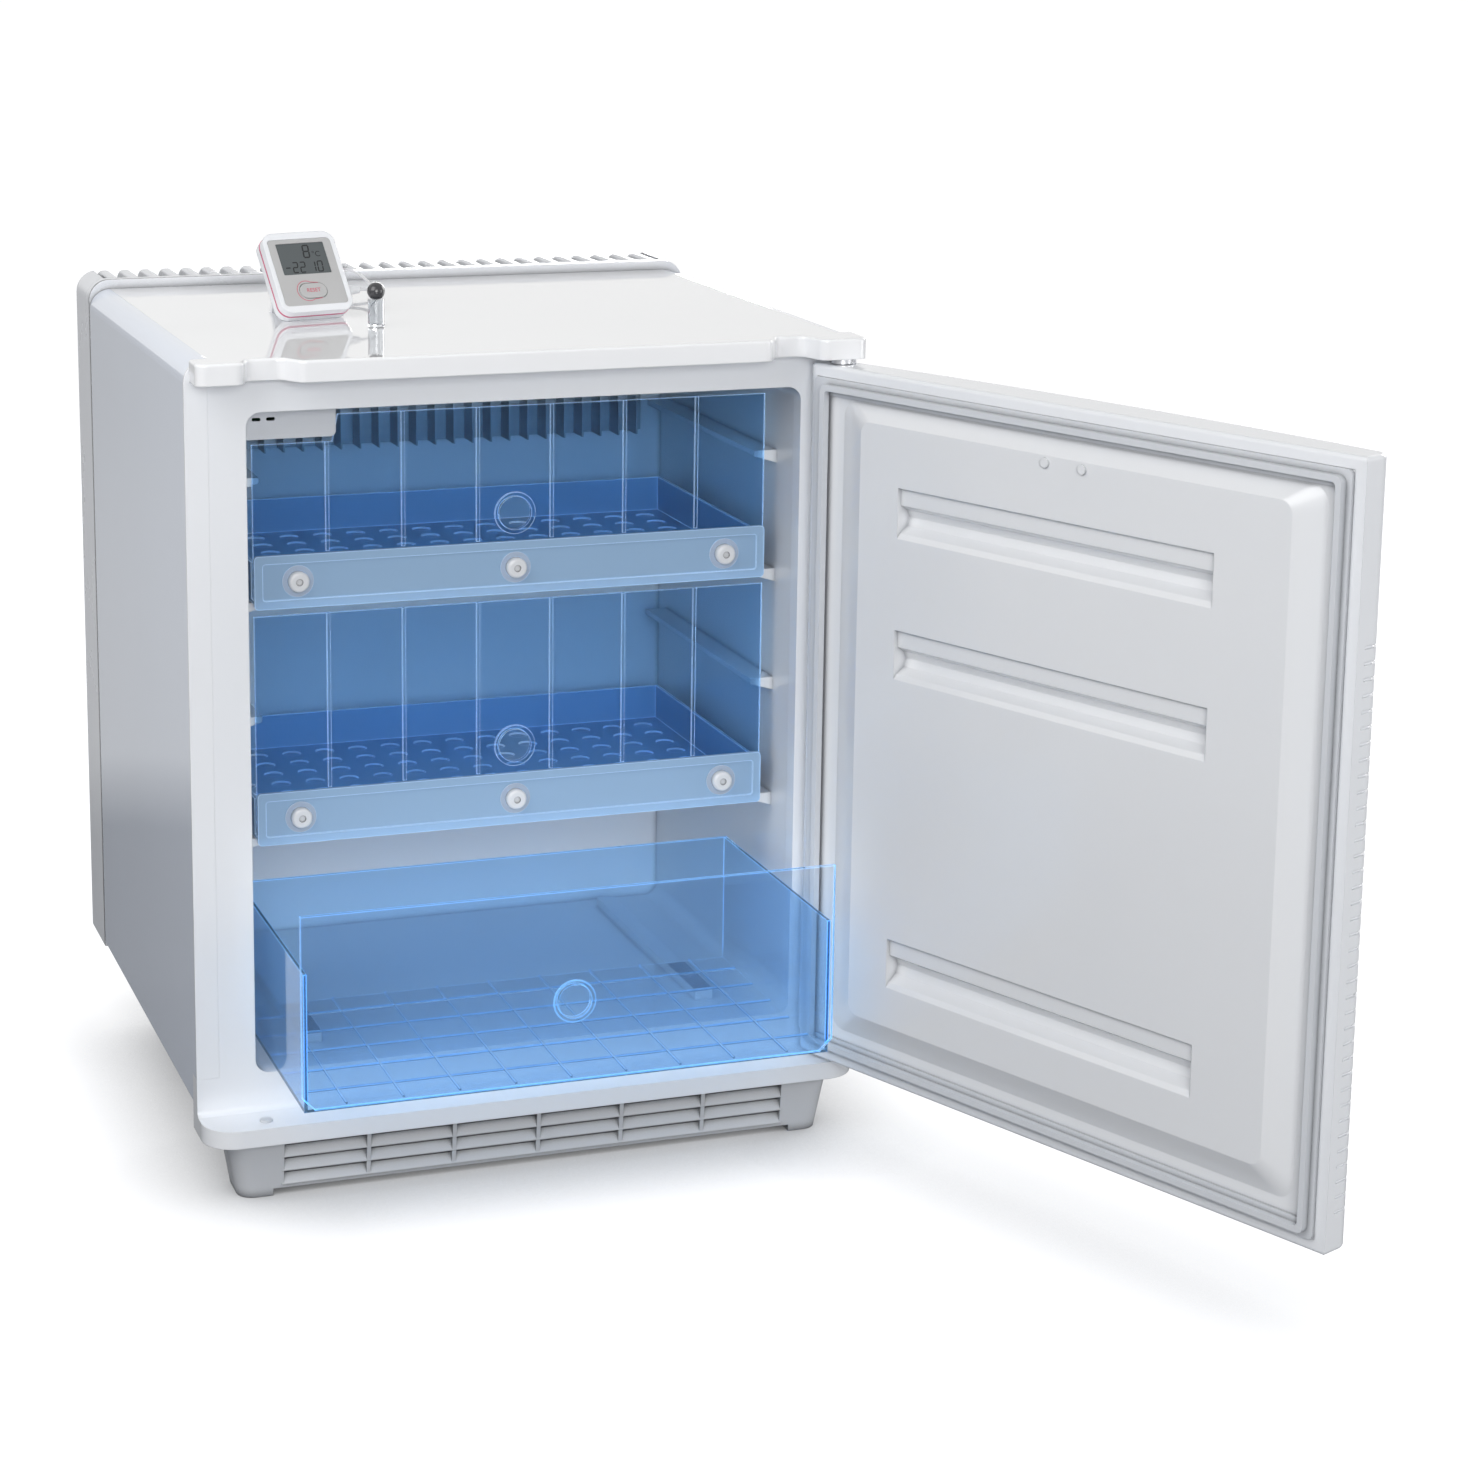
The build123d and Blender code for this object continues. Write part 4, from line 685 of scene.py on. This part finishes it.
def makeSensorLead():
    curve = bpy.data.curves.new("sensorLeadWire", "CURVE")
    curve.dimensions = "3D"
    curve.bevel_depth = sensorLeadSetup["radius"]
    curve.bevel_resolution = sensorLeadSetup["sideSteps"]
    curve.resolution_u = sensorLeadSetup["lengthSteps"]
    spline = curve.splines.new("NURBS")
    spline.points.add(len(sensorLeadSetup["route"]) - 1)
    for point, place in zip(spline.points, sensorLeadSetup["route"]):
        point.co = (*place, 1)
    spline.order_u = 3
    spline.use_endpoint_u = True
    wire = bpy.data.objects.new("sensorLeadWire", curve)
    bpy.context.scene.collection.objects.link(wire)
    curve.materials.append(materials["lead_white"])
    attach(wire, "cabinet")
    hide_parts("sensor_lead")


makeSensorLead()
print("sensor lead laid")

# Thermometer: the display's digits, the reset word, the ring round its key and the case's bead
meterSetup = {
    "place": (-0.115, -0.062, 0.592),  # foot edge's middle, on the cabinet's top
    "turn": 13.8,
    "lean": 35,
    "displayTop": 0.01232,
    "displayMiddle": (0, 0.0435),
    # each row: text, digit height, left end, foot, from the display's middle
    "rows": (
        ("8", 0.0098, 0.0010, 0.0008),
        ("-22", 0.0082, -0.0165, -0.0110),
        ("10", 0.0082, 0.0035, -0.0110),
    ),
    "strokeWidth": 0.1365,  # this and the next two as shares of the digit's height
    "digitWidth": 0.46,
    "digitStep": 0.72,
    "digitSlope": 0.09,  # digits lean a little
    "strokeThick": 0.00008,
    "ink": (0.006, 0.007, 0.008),
    "degreeSize": 0.0062,
    "degreePlace": (0.0078, 0.0012),  # from the display's middle
    "printThick": 0.00004,
    "printRough": 0.4,
    "resetMiddle": (0, 0.017),
    "resetTop": 0.01342,
    "resetSize": 0.0042,
    "resetSwell": 0.00006,
    "pink": (0.55, 0.13, 0.18),
    "faceTop": 0.0127,
    "ringSize": (0.0262, 0.0166),
    "ringWidth": 0.0005,
    "ringThick": 0.00012,
    "ringSides": 48,
    "caseSize": (0.058, 0.065),
    "caseCorner": 0.009,
    "cornerSteps": 10,
    "beadFoot": 0.0054,
    "beadTop": 0.0068,
    "beadProud": 0.00015,
    "beadBreadth": 0.0016,
}
# which strokes each sign lights: top, upper left, upper right, middle, lower left, lower right, foot
segmentsOn = {"8": "1111111", "2": "1011101", "1": "0010010", "0": "1110111", "-": "0001000"}


def meterMatrix():
    # From the case's own plane (across, up, outward) to the shared frame
    turn = math.radians(meterSetup["turn"])
    lean = math.radians(meterSetup["lean"])
    across = Vector((math.cos(turn), math.sin(turn), 0))
    outward = Vector((
        math.sin(turn) * math.cos(lean), -math.cos(turn) * math.cos(lean), math.sin(lean)
    ))
    upward = outward.cross(across)
    matrix = Matrix((across, upward, outward)).transposed().to_4x4()
    matrix.translation = meterSetup["place"]
    return matrix


def makeInk(name, colour):
    return makeFinish(name, {
        "colour": colour, "rough": meterSetup["printRough"], "coat": 0.0, "grain": 900,
        "depth": 0.05, "edge": 0,
    })


def makeLettering(body, size, place, swell=0.0, centred=False):
    # Raised words on the case's plane, as a mesh
    deselectAll()
    bpy.ops.object.text_add()
    words = bpy.context.object
    words.data.body = body
    if centred:
        words.data.align_x = "CENTER"
        words.data.align_y = "CENTER"
    words.data.size = size
    words.data.extrude = meterSetup["printThick"]
    words.data.offset = swell
    bpy.ops.object.convert(target="MESH")
    words = bpy.context.object
    words.data.transform(meterMatrix() @ Matrix.Translation(place))
    return words


def makeStroke(length, width):
    # One pointed display stroke along X: a six-sided prism pulled out at both ends
    deselectAll()
    bpy.ops.mesh.primitive_cylinder_add(
        vertices=6, radius=width / 2, depth=meterSetup["strokeThick"]
    )
    stroke = bpy.context.object
    bpy.ops.object.mode_set(mode="EDIT")
    bpy.ops.mesh.select_all(action="SELECT")
    bpy.ops.transform.rotate(
        value=math.radians(90), orient_axis="Z", center_override=(0, 0, 0)
    )
    nearMiddle = width * 0.05
    for side in (-1, 1):
        bpy.ops.mesh.select_all(action="DESELECT")
        bpy.ops.object.mode_set(mode="OBJECT")
        for point in stroke.data.vertices:
            point.select = point.co.x * side > nearMiddle
        bpy.ops.object.mode_set(mode="EDIT")
        bpy.ops.mesh.select_mode(type="VERT")
        bpy.ops.transform.translate(value=(side * (length - width) / 2, 0, 0))
    bpy.ops.object.mode_set(mode="OBJECT")
    return stroke


def makeDisplayDigits():
    middle = Vector((*meterSetup["displayMiddle"], meterSetup["displayTop"]))
    slope = Matrix.Identity(4)
    slope[0][1] = meterSetup["digitSlope"]
    strokes = []
    for text, height, left, foot in meterSetup["rows"]:
        span = height * meterSetup["digitWidth"]
        model = makeStroke(span, height * meterSetup["strokeWidth"])
        low, half, high = height * 0.25, height * 0.5, height * 0.75
        places = (
            (span / 2, height, 0), (0, high, 90), (span, high, 90),
            (span / 2, half, 0), (0, low, 90), (span, low, 90), (span / 2, 0, 0),
        )
        for index, sign in enumerate(text):
            start = left + index * height * meterSetup["digitStep"]
            for lit, (x, y, angle) in zip(segmentsOn[sign], places):
                if lit == "0":
                    continue
                stroke = copyOf(model)
                stroke.data.transform(
                    meterMatrix()
                    @ Matrix.Translation(middle + Vector((start, foot, 0)))
                    @ slope
                    @ Matrix.Translation((x, y, 0))
                    @ Matrix.Rotation(math.radians(angle), 4, "Z")
                )
                strokes.append(stroke)
        bpy.data.objects.remove(model)
    degreePlace = middle + Vector((*meterSetup["degreePlace"], 0))
    words = makeLettering("\u00b0C", meterSetup["degreeSize"], degreePlace)
    joinAll(words, strokes)
    ink = makeInk("displayInk", meterSetup["ink"])
    finishPiece(words, "displayDigits", ink, "cabinet", "display")


def makeResetMarks():
    pink = makeInk("pinkPrint", meterSetup["pink"])
    place = Vector((*meterSetup["resetMiddle"], meterSetup["resetTop"]))
    word = makeLettering(
        "RESET", meterSetup["resetSize"], place, meterSetup["resetSwell"], centred=True
    )
    finishPiece(word, "resetWord", pink, "reset_key", "seam_pink")

    # A circle pulled apart at its middle gives the ring its straight runs
    length, width = meterSetup["ringSize"]
    deselectAll()
    bpy.ops.mesh.primitive_circle_add(
        vertices=meterSetup["ringSides"], radius=width / 2, fill_type="NGON"
    )
    ring = bpy.context.object
    for side in (-1, 1):
        for point in ring.data.vertices:
            point.select = point.co.x * side > 1e-6
        bpy.ops.object.mode_set(mode="EDIT")
        bpy.ops.mesh.select_mode(type="VERT")
        bpy.ops.transform.translate(value=(side * (length - width) / 2, 0, 0))
        bpy.ops.mesh.select_all(action="DESELECT")
        bpy.ops.object.mode_set(mode="OBJECT")
    bpy.ops.object.mode_set(mode="EDIT")
    bandWithHeight(meterSetup["ringWidth"], meterSetup["ringThick"])
    place = Vector((*meterSetup["resetMiddle"], meterSetup["faceTop"]))
    ring.data.transform(meterMatrix() @ Matrix.Translation(place))
    finishPiece(ring, "resetRing", pink, "cabinet", "seam_pink")


def makeSeamBead():
    # Pink bead between the two halves of the case
    width, height = (side + 2 * meterSetup["beadProud"] for side in meterSetup["caseSize"])
    deselectAll()
    bpy.ops.mesh.primitive_plane_add(size=1)
    bead = bpy.context.object
    bead.scale = (width, height, 1)
    bpy.ops.object.transform_apply(location=False, rotation=False, scale=True)
    bpy.ops.object.mode_set(mode="EDIT")
    bpy.ops.mesh.select_all(action="SELECT")
    bpy.ops.mesh.bevel(
        offset=meterSetup["caseCorner"], segments=meterSetup["cornerSteps"], affect="VERTICES"
    )
    bandWithHeight(meterSetup["beadBreadth"], meterSetup["beadTop"] - meterSetup["beadFoot"])
    middle = Vector((0, meterSetup["caseSize"][1] / 2, meterSetup["beadFoot"]))
    bead.data.transform(meterMatrix() @ Matrix.Translation(middle))
    finishPiece(bead, "caseSeamBead", materials["seam_pink"], "cabinet", "seam_pink", "meter_ring")


makeDisplayDigits()
makeResetMarks()
makeSeamBead()
print("thermometer lettering and bead made")

# Clear washers under the knobs that hold each shelf drawer's panel
washerSetup = {
    "across": (-0.158, 0, 0.158),
    "front": -0.1878,  # the rail's recessed face
    "heights": {"upper_drawer": 0.4275, "middle_drawer": 0.2570},
    "outer": 0.0112,
    "inner": 0.0077,
    "thick": 0.0007,
    "sides": 48,
}


def makeKnobWashers():
    for body, height in washerSetup["heights"].items():
        deselectAll()
        bpy.ops.mesh.primitive_circle_add(
            vertices=washerSetup["sides"], radius=washerSetup["outer"], fill_type="NGON",
            location=(0, washerSetup["front"], height), rotation=(math.radians(90), 0, 0),
        )
        model = bpy.context.object
        bpy.ops.object.mode_set(mode="EDIT")
        bpy.ops.mesh.select_all(action="SELECT")
        bpy.ops.mesh.inset(thickness=washerSetup["outer"] - washerSetup["inner"])
        bpy.ops.mesh.delete(type="FACE")
        bpy.ops.object.mode_set(mode="OBJECT")
        addWall(model, washerSetup["thick"], 1)
        bpy.ops.object.transform_apply(location=True, rotation=True, scale=True)
        washers = []
        for across in washerSetup["across"]:
            washer = copyOf(model)
            washer.data.transform(Matrix.Translation((across, 0, 0)))
            washers.append(washer)
        bpy.data.objects.remove(model)
        joinAll(washers[0], washers[1:])
        name = body.split("_")[0] + "KnobWashers"
        finishPiece(washers[0], name, materials["washer_clear"], body, "clear_plastic")


makeKnobWashers()
print("knob washers made")

# Painted shadow: a black strip set in the seam between the cabinet's sheets and the rear cover,
# standing in for the shadow in the gap
seamSetup = {
    "halfWidth": 0.2426,
    "foot": 0.064,
    "top": 0.5916,
    "roll": 0.0156,  # radius of the two upper corners
    "rollSteps": 8,
    "back": 0.1449,
    "width": 0.0013,
    "thick": 0.0009,
    "slack": 0.001,  # how near a point has to be to the corner to count
}


def makeSeamShadowStrip():
    deselectAll()
    tall = seamSetup["top"] - seamSetup["foot"]
    bpy.ops.mesh.primitive_cube_add(size=1, location=(
        0, seamSetup["back"] - seamSetup["width"] / 2, seamSetup["foot"] + tall / 2
    ))
    strip = bpy.context.object
    strip.scale = (2 * seamSetup["halfWidth"], seamSetup["width"], tall)
    bpy.ops.object.transform_apply(location=True, rotation=False, scale=True)
    farOut = seamSetup["halfWidth"] - seamSetup["slack"]
    highUp = seamSetup["top"] - seamSetup["slack"]
    for side in (-1, 1):
        bpy.ops.object.mode_set(mode="EDIT")
        selectEdges(strip, lambda point: point.x * side > farOut and point.z > highUp)
        bpy.ops.mesh.bevel(offset=seamSetup["roll"], segments=seamSetup["rollSteps"])
        bpy.ops.object.mode_set(mode="OBJECT")
    bpy.ops.object.mode_set(mode="EDIT")
    selectFaces(strip, lambda middle, normal: abs(normal.y) > 0.9 or normal.z < -0.9)
    bpy.ops.mesh.delete(type="FACE")
    bpy.ops.object.mode_set(mode="OBJECT")
    addWall(strip, seamSetup["thick"], -1)
    # the black finish paints the seam's shadow
    finishPiece(strip, "seamShadowStrip", materials["black_rubber"], "cabinet", "black_rubber")


makeSeamShadowStrip()
print("seam strip made")
